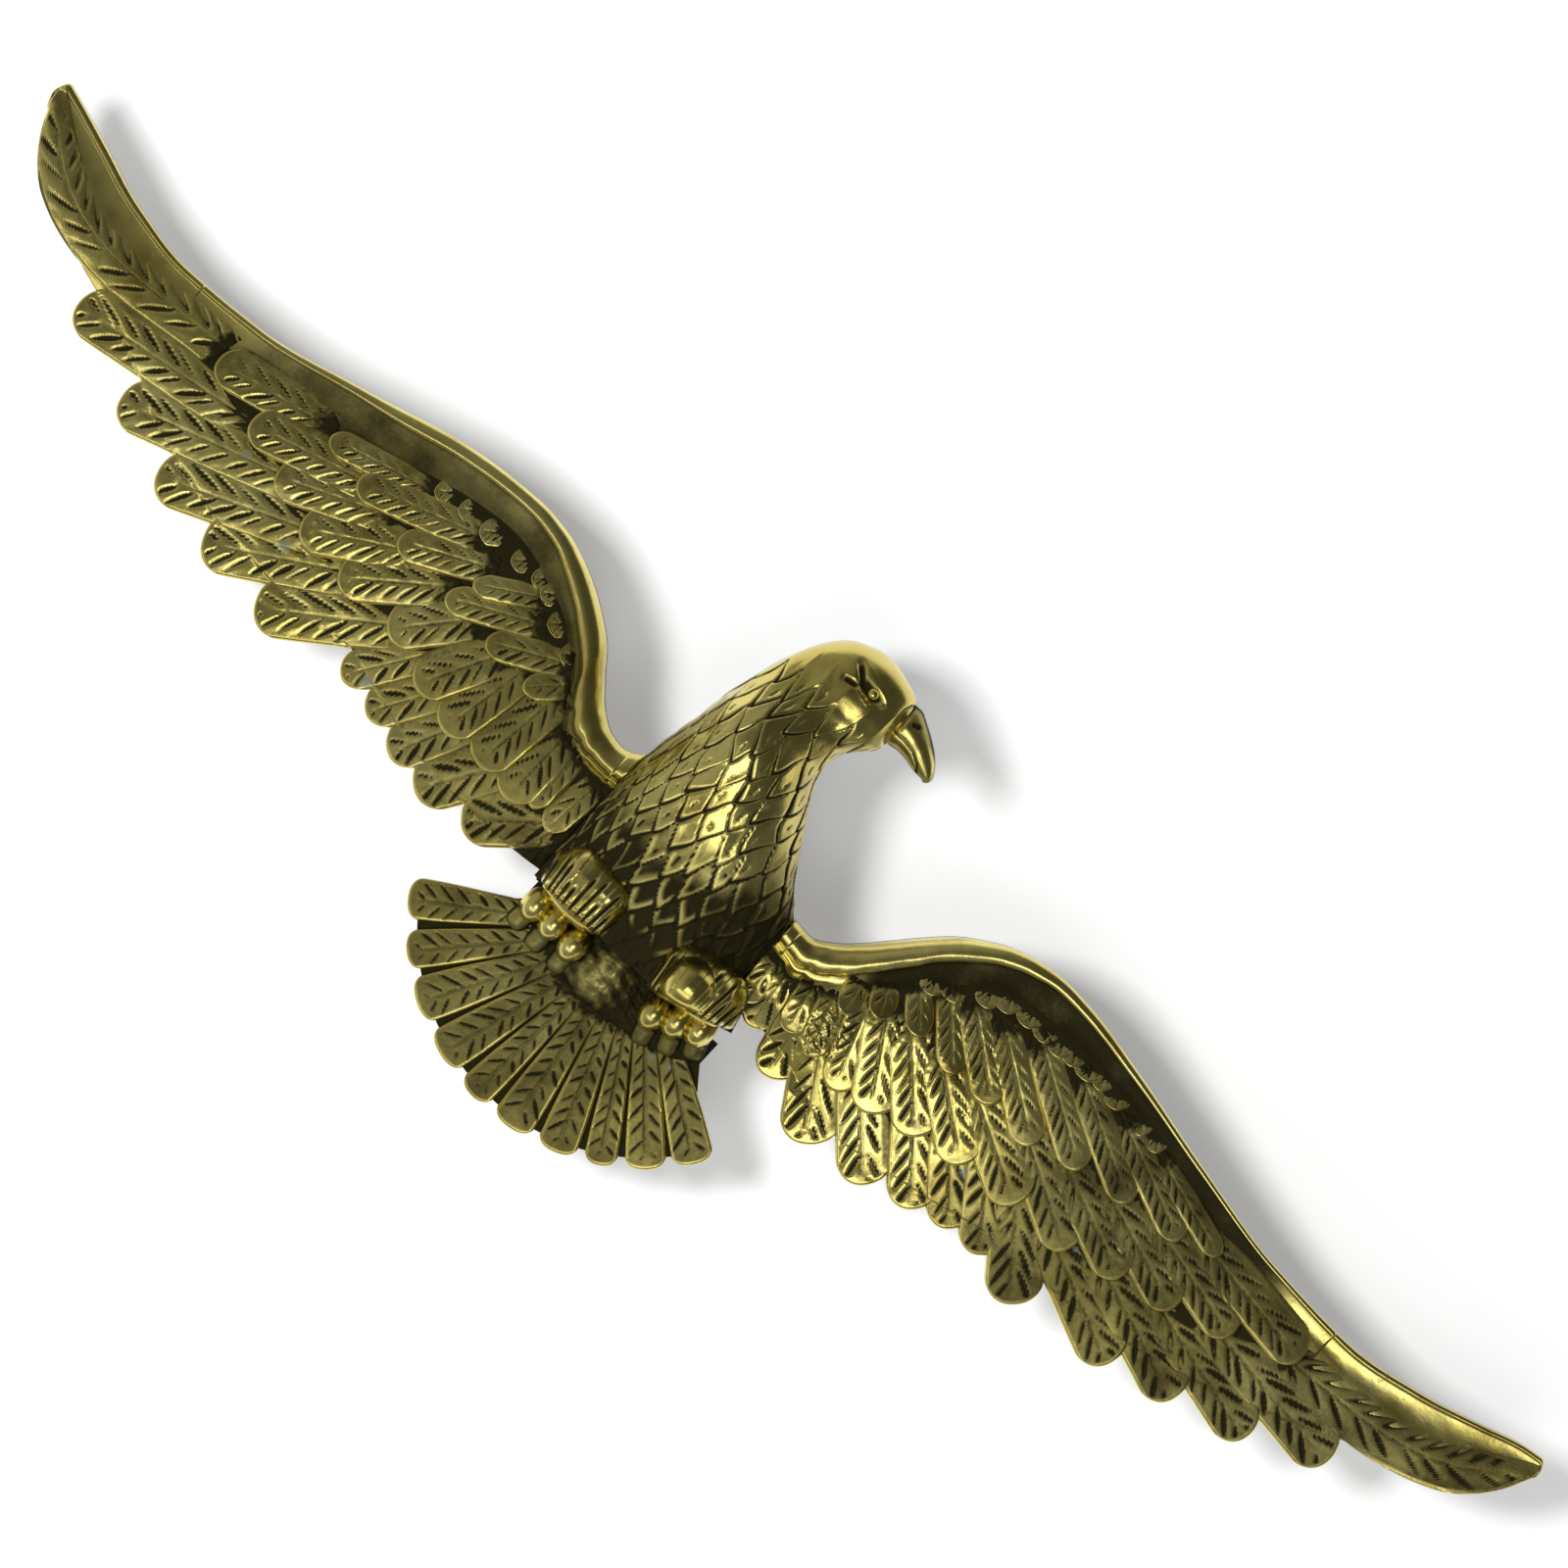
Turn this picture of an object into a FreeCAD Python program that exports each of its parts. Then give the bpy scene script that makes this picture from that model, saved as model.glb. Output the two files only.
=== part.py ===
import FreeCAD, Part
import Sketcher

import math
import os

# Eagle wall plaque, seen from the front: x runs along the wings, z is up, and the wall is the plane y = 0.
# The relief stands out from the wall towards -y, so a height above the wall is -y.
# The origin lies midway between the two keyhole plates that it hangs by.

os.makedirs("parts", exist_ok=True)
doc = FreeCAD.newDocument("eagle_plaque")
sheet = doc.addObject("Spreadsheet::Sheet", "sizes")

driving_sizes = {
    # whole plaque
    "wing_span": 610,           # tip to tip
    "wing_depth": 85,           # from the line through the tips down to the lowest wing feather
    "hang_drop": 25,            # from that line down to the hanging points
    "wall": 3.5,                # thickness of the cast brass
    "overrun": 2,               # how far a cutting shape passes a face
    "fit": 0.1,                 # radial gap of a peg or screw in its hole
    "slack": 0.3,               # gap round a tongue in its notch
    # wings, from the root to the tip
    "left_seam": 38.5,          # centre plane to the left wing's root face
    "right_seam": 28,           # centre plane to the right wing's root face
    "rim_height_root": 20,
    "rim_height_tip": 4.5,
    "rim_width_root": 7,
    "rim_width_tip": 3.2,
    "trough_width_root": 12,
    "trough_width_tip": 4,
    "trough_depth_root": 3,
    "trough_depth_tip": 0.6,
    "camber_root": 3.5,
    "camber_tip": 0.6,
    "edge_height_root": 7,
    "edge_height_tip": 3,
    "feather_width": 16,
    "covert_width": 14.5,
    "small_covert_width": 11.5,
    "feather_tuck": 8,          # how far each feather's root runs on under the row above
    "feather_root_lift": 0.3,
    "feather_tip_lift": 2,
    "feather_roll": 1.1,        # how much one long edge of a feather stands above the other
    # body
    "body_width": 66,
    "body_drop": 78,            # from the line through the tips down to the body's lower edge
    "body_height": 40,
    "crown_rise": 42,           # from that line up to the crown
    "body_side": 11,            # height of the upright sides
    "hollow_rise": 8,           # from that line up to the top of the hollow in the neck
    "thigh_width": 25,
    "thigh_length": 28,
    "thigh_height": 26,
    "thigh_middle": 19,         # wall plane to the middle of a thigh
    "thigh_rise": 8,            # lower edge of the body to the middle of a thigh
    "beak_base": 17,            # height of the beak where it leaves the head
    "beak_thickness": 15,
    "beak_middle": 18,          # wall plane to the middle of the beak
    "beak_root_out": 8,
    "beak_root_rise": 21,
    "eye_radius": 2.2,
    "eye_height": 30,
    "eye_in": 1,
    "eye_rise": 30,
    # tail
    "tail_radius": 72,
    "tail_root_radius": 26,
    "tail_plate_radius": 68.5,
    "tail_feather_root": 7,
    "tail_feather_tip": 14,
    "tail_root_height": 7,
    "tail_tip_height": 5,
    "tail_plate_height": 3.8,
    "tail_pad_height": 8,
    "tail_pad_width": 73,
    "tail_pad_side": 8,
    "tail_pad_length": 25,
    "tail_hub_rise": 10,        # lower edge of the body up to the point that the feathers spread from
    "hump_radius": 12,
    "hump_height": 13,
    "hump_drop": 9,
    # feet
    "knuckle_width": 8.2,
    "knuckle_length": 10.5,
    "knuckle_height": 11,
    "claw_width": 6.4,
    "claw_length": 9,
    "claw_height": 10,
    "claw_drop": 7.5,           # a knuckle's middle down to its claw's
    "ankle_radius": 7.5,
    "ankle_middle": 17,         # wall plane to the middle of the ankle
    "toe_pitch": 7.6,
    "toe_step": 1.5,            # how much higher each toe stands towards the outside
    "left_foot_out": 24,
    "left_foot_drop": 7.6,      # lower edge of the body down to the middle toe
    "right_foot_out": 22.5,
    "right_foot_drop": 5,
    "right_thigh_out": 18,
    "peg_radius": 2.5,
    "peg_length": 5,
    # tongues that carry the wings and the tail, and their screws
    "tongue_thickness": 3.5,
    "tongue_back": 3,           # wall plane to the tongue's back
    "tongue_reach": 16,
    "tongue_width": 26,
    "tongue_screw_pitch": 14,
    "boss_radius": 5,
    "joint_screw_radius": 2.4,
    "joint_screw_length": 11,
    "joint_head_radius": 4.4,
    "joint_head_height": 2.2,
    # keyhole plates and their screws
    "plate_length": 38,
    "plate_width": 14,
    "plate_thickness": 2,
    "plate_back": 2.5,          # wall plane to the plate's back
    "key_radius": 4.5,
    "slot_radius": 2.3,
    "slot_travel": 6,
    "plate_screw_pitch": 30,
    "plate_boss_radius": 4.2,
    "plate_screw_radius": 1.9,
    "plate_screw_length": 7,
    "plate_head_radius": 3.4,
    "plate_head_height": 1.8,
    "drive_width": 1,           # the slot in each screw head
    "drive_depth": 0.8,
}

for row, (name, value) in enumerate(driving_sizes.items(), start=1):
    sheet.set("A%d" % row, name)
    sheet.set("B%d" % row, str(value))
    sheet.setAlias("B%d" % row, name)
doc.recompute()


def size(name):
    return float(getattr(sheet, name))


def at(x, height, z):
    return FreeCAD.Vector(x, -height, z)


half_span = size("wing_span") / 2
tip_level = size("hang_drop")       # the line through the wing tips, above the hanging points
wing_depth = size("wing_depth")
wall = size("wall")
overrun = size("overrun")
body_foot = tip_level - size("body_drop")
body_length = size("crown_rise") + size("body_drop")

# Shape tables hold shares of the sizes that their notes name.

# stations along a wing: distance out as a share of half the span, then its leading and trailing
# edge above the line through the tips, as shares of the wing depth; the first lies on the root face
wing_station_shares = {
    "left": [
        (0.126, -0.365, -0.900), (0.164, -0.365, -0.905), (0.203, -0.235, -0.905),
        (0.250, -0.090, -0.910), (0.302, 0.012, -0.900), (0.367, 0.060, -0.840),
        (0.460, 0.030, -0.805), (0.574, -0.075, -0.800), (0.690, -0.170, -0.695),
        (0.787, -0.190, -0.540), (0.860, -0.147, -0.445), (0.925, -0.070, -0.370),
        (0.970, -0.018, -0.260), (0.997, 0.012, -0.105),
    ],
    "right": [
        (0.092, -0.405, -0.775), (0.125, -0.365, -0.775), (0.164, -0.230, -0.790),
        (0.210, -0.080, -0.835), (0.262, 0.047, -0.880), (0.328, 0.085, -0.860),
        (0.443, 0.024, -0.775), (0.557, -0.070, -0.753), (0.672, -0.147, -0.670),
        (0.777, -0.170, -0.540), (0.860, -0.124, -0.410), (0.925, -0.060, -0.345),
        (0.970, -0.010, -0.235), (0.997, 0.004, -0.095),
    ],
}

# feathers: root and tip, each as distance out over half the span and drop over the wing depth
flight_feather_shares = {
    "left": [
        (0.665, 0.460, 0.839, 0.530), (0.590, 0.520, 0.750, 0.680), (0.534, 0.590, 0.665, 0.790),
        (0.475, 0.660, 0.593, 0.870), (0.387, 0.635, 0.515, 0.885), (0.354, 0.660, 0.400, 0.888),
        (0.315, 0.680, 0.351, 0.920), (0.282, 0.706, 0.312, 0.970), (0.236, 0.706, 0.259, 1.000),
        (0.177, 0.706, 0.193, 0.970), (0.152, 0.706, 0.153, 0.940),
    ],
    "right": [
        (0.672, 0.447, 0.843, 0.530), (0.623, 0.540, 0.767, 0.677), (0.564, 0.553, 0.690, 0.753),
        (0.498, 0.635, 0.620, 0.835), (0.426, 0.670, 0.515, 0.882), (0.360, 0.620, 0.405, 0.842),
        (0.325, 0.640, 0.362, 0.895), (0.282, 0.660, 0.310, 0.947), (0.226, 0.660, 0.248, 0.970),
        (0.165, 0.620, 0.180, 0.888), (0.120, 0.600, 0.126, 0.840),
    ],
}
covert_shares = {
    "left": [
        (0.574, 0.224, 0.700, 0.353), (0.492, 0.235, 0.633, 0.424), (0.475, 0.340, 0.580, 0.494),
        (0.426, 0.388, 0.534, 0.565), (0.377, 0.412, 0.479, 0.600), (0.344, 0.447, 0.413, 0.612),
        (0.318, 0.470, 0.357, 0.682), (0.275, 0.494, 0.295, 0.753), (0.230, 0.494, 0.243, 0.753),
        (0.200, 0.470, 0.190, 0.776), (0.165, 0.500, 0.148, 0.706),
    ],
    "right": [
        (0.623, 0.235, 0.748, 0.365), (0.550, 0.260, 0.682, 0.435), (0.525, 0.353, 0.623, 0.506),
        (0.460, 0.388, 0.564, 0.565), (0.410, 0.424, 0.508, 0.612), (0.374, 0.424, 0.443, 0.588),
        (0.334, 0.424, 0.377, 0.635), (0.295, 0.424, 0.321, 0.682), (0.240, 0.447, 0.260, 0.706),
        (0.187, 0.447, 0.197, 0.682),
    ],
}
small_covert_shares = {
    "left": [
        (0.475, 0.140, 0.550, 0.235), (0.377, 0.165, 0.462, 0.330), (0.350, 0.290, 0.443, 0.390),
        (0.311, 0.212, 0.387, 0.388), (0.279, 0.294, 0.328, 0.424), (0.236, 0.318, 0.262, 0.447),
    ],
    "right": [
        (0.530, 0.140, 0.623, 0.247), (0.490, 0.200, 0.584, 0.318), (0.436, 0.200, 0.521, 0.330),
        (0.387, 0.212, 0.466, 0.376), (0.348, 0.235, 0.413, 0.424), (0.315, 0.212, 0.357, 0.388),
        (0.275, 0.212, 0.308, 0.424), (0.240, 0.176, 0.262, 0.388), (0.203, 0.235, 0.226, 0.447),
    ],
}

# body sections from the lower edge to the crown: rise over the body length, left and right edges over
# the body width, height of the front over the body height
body_section_shares = [
    (0.000, -0.590, 0.455, 0.550), (0.133, -0.614, 0.455, 0.800), (0.267, -0.620, 0.455, 0.965),
    (0.375, -0.614, 0.394, 1.000), (0.483, -0.564, 0.238, 0.965), (0.592, -0.526, 0.110, 0.875),
    (0.683, -0.500, 0.055, 0.800), (0.758, -0.455, 0.070, 0.750), (0.817, -0.424, 0.136, 0.775),
    (0.883, -0.368, 0.167, 0.790), (0.942, -0.303, 0.152, 0.730), (0.979, -0.212, 0.098, 0.610),
    (0.998, -0.129, 0.015, 0.450),
]
# beak rings from the head to the hook: place over the beak's base across and up, then radius share
beak_ring_shares = [
    (-0.20, 0.52, 0.50), (0.25, 0.50, 0.47), (0.59, 0.435, 0.35), (0.93, 0.295, 0.22), (1.13, 0.07, 0.07),
]
beak_ring_turns = [0, 0, 8, 35, 78]
# tail feathers: direction of each over half the fan's spread, and width over the full feather width
tail_feather_shares = [
    (-1.0, 1.0), (-0.77, 0.94), (-0.54, 1.12), (-0.29, 1.10), (-0.066, 0.88),
    (0.153, 1.04), (0.38, 0.98), (0.583, 0.80), (0.786, 0.98), (1.0, 1.0),
]
tail_half_spread = 55
tail_side_share = -0.045            # middle of the tail from the centre plane, over the body width
hollow_reach_share = 0.76           # how far out a wing is hollow, over half the span
hanger_share = 0.3114754            # from one keyhole to the other, over the span
taper_power = 1.3                   # how fast a wing's root sizes give way to its tip sizes
trough_floor_share = 1.3            # depth of the trough and of its inner shoulder below the rim, over
trough_shoulder_share = 0.8         # the depth of the feather field
# outline of a feather: place along it over its length, half its width over its full width
feather_root_share = 0.34
feather_side_shares = (0.45, 0.47)
feather_shoulder_shares = (0.88, 0.45)


tail_x = tail_side_share * size("body_width")


def blend(start, end, share):
    return start + (end - start) * share


def wing_taper(name, out, seam):
    """A size that shrinks from its root value to its tip value along the wing."""
    fade = max(0, 1 - (out - seam) / (half_span - seam)) ** taper_power
    return blend(size(name + "_tip"), size(name + "_root"), fade)


def wing_stations(side):
    seam = size(side + "_seam")
    stations = [(share * half_span, lead * wing_depth, trail * wing_depth)
                for share, lead, trail in wing_station_shares[side]]
    stations[0] = (seam,) + stations[0][1:]
    return stations


def wing_section(side, out):
    """The edges of the wing and the levels of its rim, trough and feather field at one distance out."""
    stations = wing_stations(side)
    index = 1
    while index < len(stations) - 1 and stations[index][0] < out:
        index += 1
    near, far = stations[index - 1], stations[index]
    share = (out - near[0]) / (far[0] - near[0])
    before, after = stations[max(0, index - 2)], stations[min(len(stations) - 1, index + 1)]
    lead = tip_level + blend(near[1], far[1], share)
    trail = tip_level + blend(near[2], far[2], share)
    slope = (after[1] - before[1]) / (after[0] - before[0])
    seam = stations[0][0]
    rim_width = wing_taper("rim_width", out, seam)
    stretch = math.hypot(1, slope)
    depth = wing_taper("trough_depth", out, seam)
    rim = wing_taper("rim_height", out, seam)
    return {
        "lead": lead, "trail": trail, "rim": rim,
        "shoulder": rim - rim_width / 2,
        "rim_end": lead - rim_width * stretch,
        "field_start": lead - (rim_width + wing_taper("trough_width", out, seam)) * stretch,
        "trough": rim - trough_floor_share * depth,
        "inner_shoulder": rim - trough_shoulder_share * depth,
        "field": rim - depth,
        "camber": wing_taper("camber", out, seam), "edge": wing_taper("edge_height", out, seam),
    }


def field_height(section, z):
    along = (section["field_start"] - z) / (section["field_start"] - section["trail"])
    along = min(1, max(0, along))
    return blend(section["field"], section["edge"], along) + 4 * section["camber"] * along * (1 - along)


def wing_profile(side, sign, out):
    """Closed outline of the wing's front at one station: rim bead, trough, feather field, back."""
    s = wing_section(side, out)
    middle = blend(s["field_start"], s["trail"], 0.5)

    def point(z, height):
        return at(sign * out, height, z)

    return Part.Wire([
        Part.makeLine(point(s["lead"], 0), point(s["lead"], s["shoulder"])),
        Part.Arc(point(s["lead"], s["shoulder"]), point(blend(s["lead"], s["rim_end"], 0.45), s["rim"]),
                 point(s["rim_end"], s["inner_shoulder"])).toShape(),
        Part.Arc(point(s["rim_end"], s["inner_shoulder"]),
                 point(blend(s["rim_end"], s["field_start"], 0.5), s["trough"]),
                 point(s["field_start"], s["field"])).toShape(),
        Part.Arc(point(s["field_start"], s["field"]), point(middle, field_height(s, middle)),
                 point(s["trail"], s["edge"])).toShape(),
        Part.makeLine(point(s["trail"], s["edge"]), point(s["trail"], 0)),
        Part.makeLine(point(s["trail"], 0), point(s["lead"], 0)),
    ])


def hollow_profile(side, sign, out):
    """Outline of the hollow behind the same station, one wall thickness inside it."""
    s = wing_section(side, out)
    lead = s["lead"] - wall
    trail = s["trail"] + wall
    middle = blend(lead, trail, 0.5)

    def point(z, height):
        return at(sign * out, height, z)

    top_lead = point(lead, s["trough"] - wall)
    top_trail = point(trail, field_height(s, trail) - wall)
    return Part.Wire([
        Part.makeLine(point(lead, -overrun), top_lead),
        Part.Arc(top_lead, point(middle, field_height(s, middle) - wall), top_trail).toShape(),
        Part.makeLine(top_trail, point(trail, -overrun)),
        Part.makeLine(point(trail, -overrun), point(lead, -overrun)),
    ])


def feather(root, tip, widths, heights, roll):
    """A slab under a tilted plane, outlined as a feather, that reaches past the wall plane."""
    length = math.dist(root, tip)
    along = ((tip[0] - root[0]) / length, (tip[1] - root[1]) / length)
    across = (-along[1], along[0])

    def point(share, sideways):
        height = blend(heights[0], heights[1], share) + roll * sideways / widths[1]
        return at(root[0] + along[0] * share * length + across[0] * sideways, height,
                  root[1] + along[1] * share * length + across[1] * sideways)

    half_root = widths[0] * 0.5
    half_side = widths[1] * feather_side_shares[1]
    half_shoulder = widths[1] * feather_shoulder_shares[1]
    shoulder = feather_shoulder_shares[0]
    outline = Part.Wire([
        Part.makeLine(point(0, -half_root), point(0, half_root)),
        Part.Arc(point(0, half_root), point(feather_side_shares[0], half_side),
                 point(shoulder, half_shoulder)).toShape(),
        Part.Arc(point(shoulder, half_shoulder), point(1, 0), point(shoulder, -half_shoulder)).toShape(),
        Part.Arc(point(shoulder, -half_shoulder), point(feather_side_shares[0], -half_side),
                 point(0, -half_root)).toShape(),
    ])
    return Part.Face(outline).extrude(FreeCAD.Vector(0, max(heights) + roll + overrun, 0))


def wing_feathers(side, sign):
    rows = [
        (flight_feather_shares[side], size("feather_width")),
        (covert_shares[side], size("covert_width")),
        (small_covert_shares[side], size("small_covert_width")),
    ]
    feathers = []
    for row, (shares, width) in enumerate(rows):
        for root_out, root_drop, tip_out, tip_drop in shares:
            root = (root_out * half_span, tip_level - root_drop * wing_depth)
            tip = (tip_out * half_span, tip_level - tip_drop * wing_depth)
            tuck = size("feather_tuck") / math.dist(root, tip)
            root = (root[0] + (root[0] - tip[0]) * tuck, root[1] + (root[1] - tip[1]) * tuck)
            root_height = field_height(wing_section(side, root[0]), root[1]) + size("feather_root_lift")
            tip_height = field_height(wing_section(side, tip[0]), tip[1]) + size("feather_tip_lift")
            feathers.append(feather((sign * root[0], root[1]), (sign * tip[0], tip[1]),
                                    (width * 2 * feather_root_share, width),
                                    (root_height, tip_height), -sign * size("feather_roll")))
    return feathers


def behind_wall(shape):
    """What of the shape lies behind the wall plane."""
    box = shape.BoundBox
    corner = FreeCAD.Vector(box.XMin - overrun, 0, box.ZMin - overrun)
    return Part.makeBox(box.XLength + 2 * overrun, box.YMax + overrun, box.ZLength + 2 * overrun, corner)


def peg(x, z, radius, low, high):
    """A round bar square to the wall, from one height to another."""
    return Part.makeCylinder(radius, high - low, at(x, low, z), FreeCAD.Vector(0, -1, 0))


def block(x, z, low, high):
    """A box between two x values, two z values and two heights."""
    return Part.makeBox(x[1] - x[0], high - low, z[1] - z[0], at(x[0], high, z[0]))


tongue_low = size("tongue_back")
tongue_high = tongue_low + size("tongue_thickness")
plate_high = size("plate_back") + size("plate_thickness")


def tongue_middle_share(side):
    """Middle of the root face above the line through the tips, over the wing depth."""
    root = wing_station_shares[side][0]
    return blend(root[1], root[2], 0.5)


def tongue_centre(side):
    return tip_level + tongue_middle_share(side) * wing_depth


def wing(side, sign):
    seam = size(side + "_seam")
    stations = [station[0] for station in wing_stations(side)]
    front = Part.makeLoft([wing_profile(side, sign, out) for out in stations], True)

    # the tongue that goes behind the body's edge
    centre = tongue_centre(side)
    half = size("tongue_width") / 2
    reach = (sign * (seam + wall), sign * (seam - size("tongue_reach")))
    tongue = block((min(reach), max(reach)), (centre - half, centre + half), tongue_low, tongue_high)
    solid = front.fuse(wing_feathers(side, sign) + [tongue])

    # the hollow leaves two bosses that carry the keyhole plate
    hollow_outs = [seam + wall] + [out for out in stations[1:] if out < hollow_reach_share * half_span]
    hollow = Part.makeLoft([hollow_profile(side, sign, out) for out in hollow_outs], True, True)
    hang_x = sign * hanger_share * half_span
    screw_holes = [peg(x, z, size("joint_screw_radius") + size("slack"), tongue_low - overrun,
                       tongue_high + overrun) for x, z in joint_places(side)]
    for end in (-1, 1):
        z = end * size("plate_screw_pitch") / 2
        roof = field_height(wing_section(side, abs(hang_x)), z)
        hollow = hollow.cut(peg(hang_x, z, size("plate_boss_radius"), plate_high, roof))
        screw_holes.append(peg(hang_x, z, size("plate_screw_radius") + size("fit"), plate_high - overrun,
                               size("plate_back") + size("plate_screw_length") + size("slack")))
    return solid.cut([behind_wall(solid), hollow] + screw_holes)


def joint_places(part):
    """Where the two screws of a wing's or the tail's tongue stand."""
    half = size("tongue_screw_pitch") / 2
    inset = blend(wall, size("tongue_reach"), 0.5)
    if part == "tail":
        return [(tail_x - half, body_foot + inset), (tail_x + half, body_foot + inset)]
    sign = -1 if part == "left" else 1
    x = sign * (size(part + "_seam") - inset)
    return [(x, tongue_centre(part) - half), (x, tongue_centre(part) + half)]


def body_section(share):
    """The left and right edges and the front height of the body at one share of its length."""
    index = 1
    while index < len(body_section_shares) - 1 and body_section_shares[index][0] < share:
        index += 1
    near, far = body_section_shares[index - 1], body_section_shares[index]
    part = (share - near[0]) / (far[0] - near[0])
    left, right, front = (blend(near[column], far[column], part) for column in (1, 2, 3))
    return left * size("body_width"), right * size("body_width"), front * size("body_height")


def body_profile(share, inset, back):
    """A flat back, two upright sides and a half-ellipse front."""
    left, right, front = body_section(share)
    if inset:
        left = max(left, -size("left_seam"))
        right = min(right, size("right_seam"))
    left, right, front = left + inset, right - inset, front - inset
    z = body_foot + share * body_length
    middle, half = (left + right) / 2, (right - left) / 2
    side = size("body_side")
    turns = [math.radians(turn) for turn in range(0, 181, 30)]
    arch_points = [at(middle - half * math.cos(turn), side + (front - side) * math.sin(turn), z)
                   for turn in turns]
    arch = Part.BSplineCurve()
    arch.interpolate(Points=arch_points, Parameters=turns)
    return Part.Wire([
        Part.makeLine(at(left, back, z), arch_points[0]), arch.toShape(),
        Part.makeLine(arch_points[-1], at(right, back, z)),
        Part.makeLine(at(right, back, z), at(left, back, z)),
    ])


def body_front(x, z):
    left, right, front = body_section((z - body_foot) / body_length)
    across = (x - (left + right) / 2) / ((right - left) / 2)
    return blend(size("body_side"), front, math.sqrt(max(0, 1 - across ** 2)))


def body_hollow():
    """The hollow behind the breast and neck, with the bosses for the six screws left standing."""
    top_share = (size("hollow_rise") + size("body_drop")) / body_length
    shares = [wall / body_length]
    shares += [row[0] for row in body_section_shares if wall / body_length < row[0] < top_share]
    hollow = Part.makeLoft([body_profile(share, wall, -overrun) for share in shares + [top_share]], True)
    places = joint_places("left") + joint_places("right") + joint_places("tail")
    return hollow.cut([peg(x, z, size("boss_radius"), tongue_high, body_front(x, z)) for x, z in places])


def beak():
    """Rings that turn from across to down, from the head to the hook."""
    base = size("beak_base")
    rings = []
    for (across, up, radius), turn in zip(beak_ring_shares, beak_ring_turns):
        centre = at(size("beak_root_out") + across * base, size("beak_middle"),
                    tip_level + size("beak_root_rise") + up * base)
        upwards = FreeCAD.Vector(math.sin(math.radians(turn)), 0, math.cos(math.radians(turn)))
        flatness = size("beak_thickness") / base
        ellipse = Part.Ellipse(centre + upwards * radius * base,
                               centre + FreeCAD.Vector(0, -radius * base * flatness, 0), centre)
        rings.append(Part.Wire([ellipse.toShape()]))
    return Part.makeLoft(rings, True)


def bind(piece, **expressions):
    """Ties properties of a document object to the sheet; x, y and z are its place."""
    for name, expression in expressions.items():
        if name in ("x", "y", "z"):
            name = "Placement.Base." + name
        piece.setExpression(name, expression)
    return piece


def ellipsoid(name, across, depth, upright, x, height, z):
    piece = doc.addObject("Part::Ellipsoid", name)
    return bind(piece, Radius1=upright, Radius2=across, Radius3=depth, x=x, y="-(%s)" % height, z=z)


def box(name, length, depth, upright, x, height, z):
    """A box from x to x + length, from a height towards the wall by depth, and upwards from z."""
    piece = doc.addObject("Part::Box", name)
    return bind(piece, Length=length, Width=depth, Height=upright, x=x, y="-(%s)" % height, z=z)


def cylinder(name, radius, length, x, height, z, upright=False):
    """A cylinder that stands out from the wall, or upright, from a height and z."""
    piece = doc.addObject("Part::Cylinder", name)
    if not upright:
        piece.Placement.Rotation = FreeCAD.Rotation(FreeCAD.Vector(1, 0, 0), 90)
    return bind(piece, Radius=radius, Height=length, x=x, y="-(%s)" % height, z=z)


def joined(name, pieces):
    fused = doc.addObject("Part::MultiFuse", name)
    fused.Shapes = pieces
    return fused


def less(name, base, tool):
    cut = doc.addObject("Part::Cut", name)
    cut.Base = base
    cut.Tool = tool
    return cut


def keep(name, shape):
    """A free-form shape becomes an object of its own in the document."""
    piece = doc.addObject("Part::Feature", name)
    piece.Shape = shape
    return piece


foot_level = "sizes.hang_drop - sizes.body_drop"
tongue_top = "sizes.tongue_back + sizes.tongue_thickness"
notch_width = "sizes.tongue_width + 2 * sizes.slack"
notch_depth = tongue_top + " + sizes.slack + sizes.overrun"
notch_reach = "sizes.wall + 2 * sizes.overrun"


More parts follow.
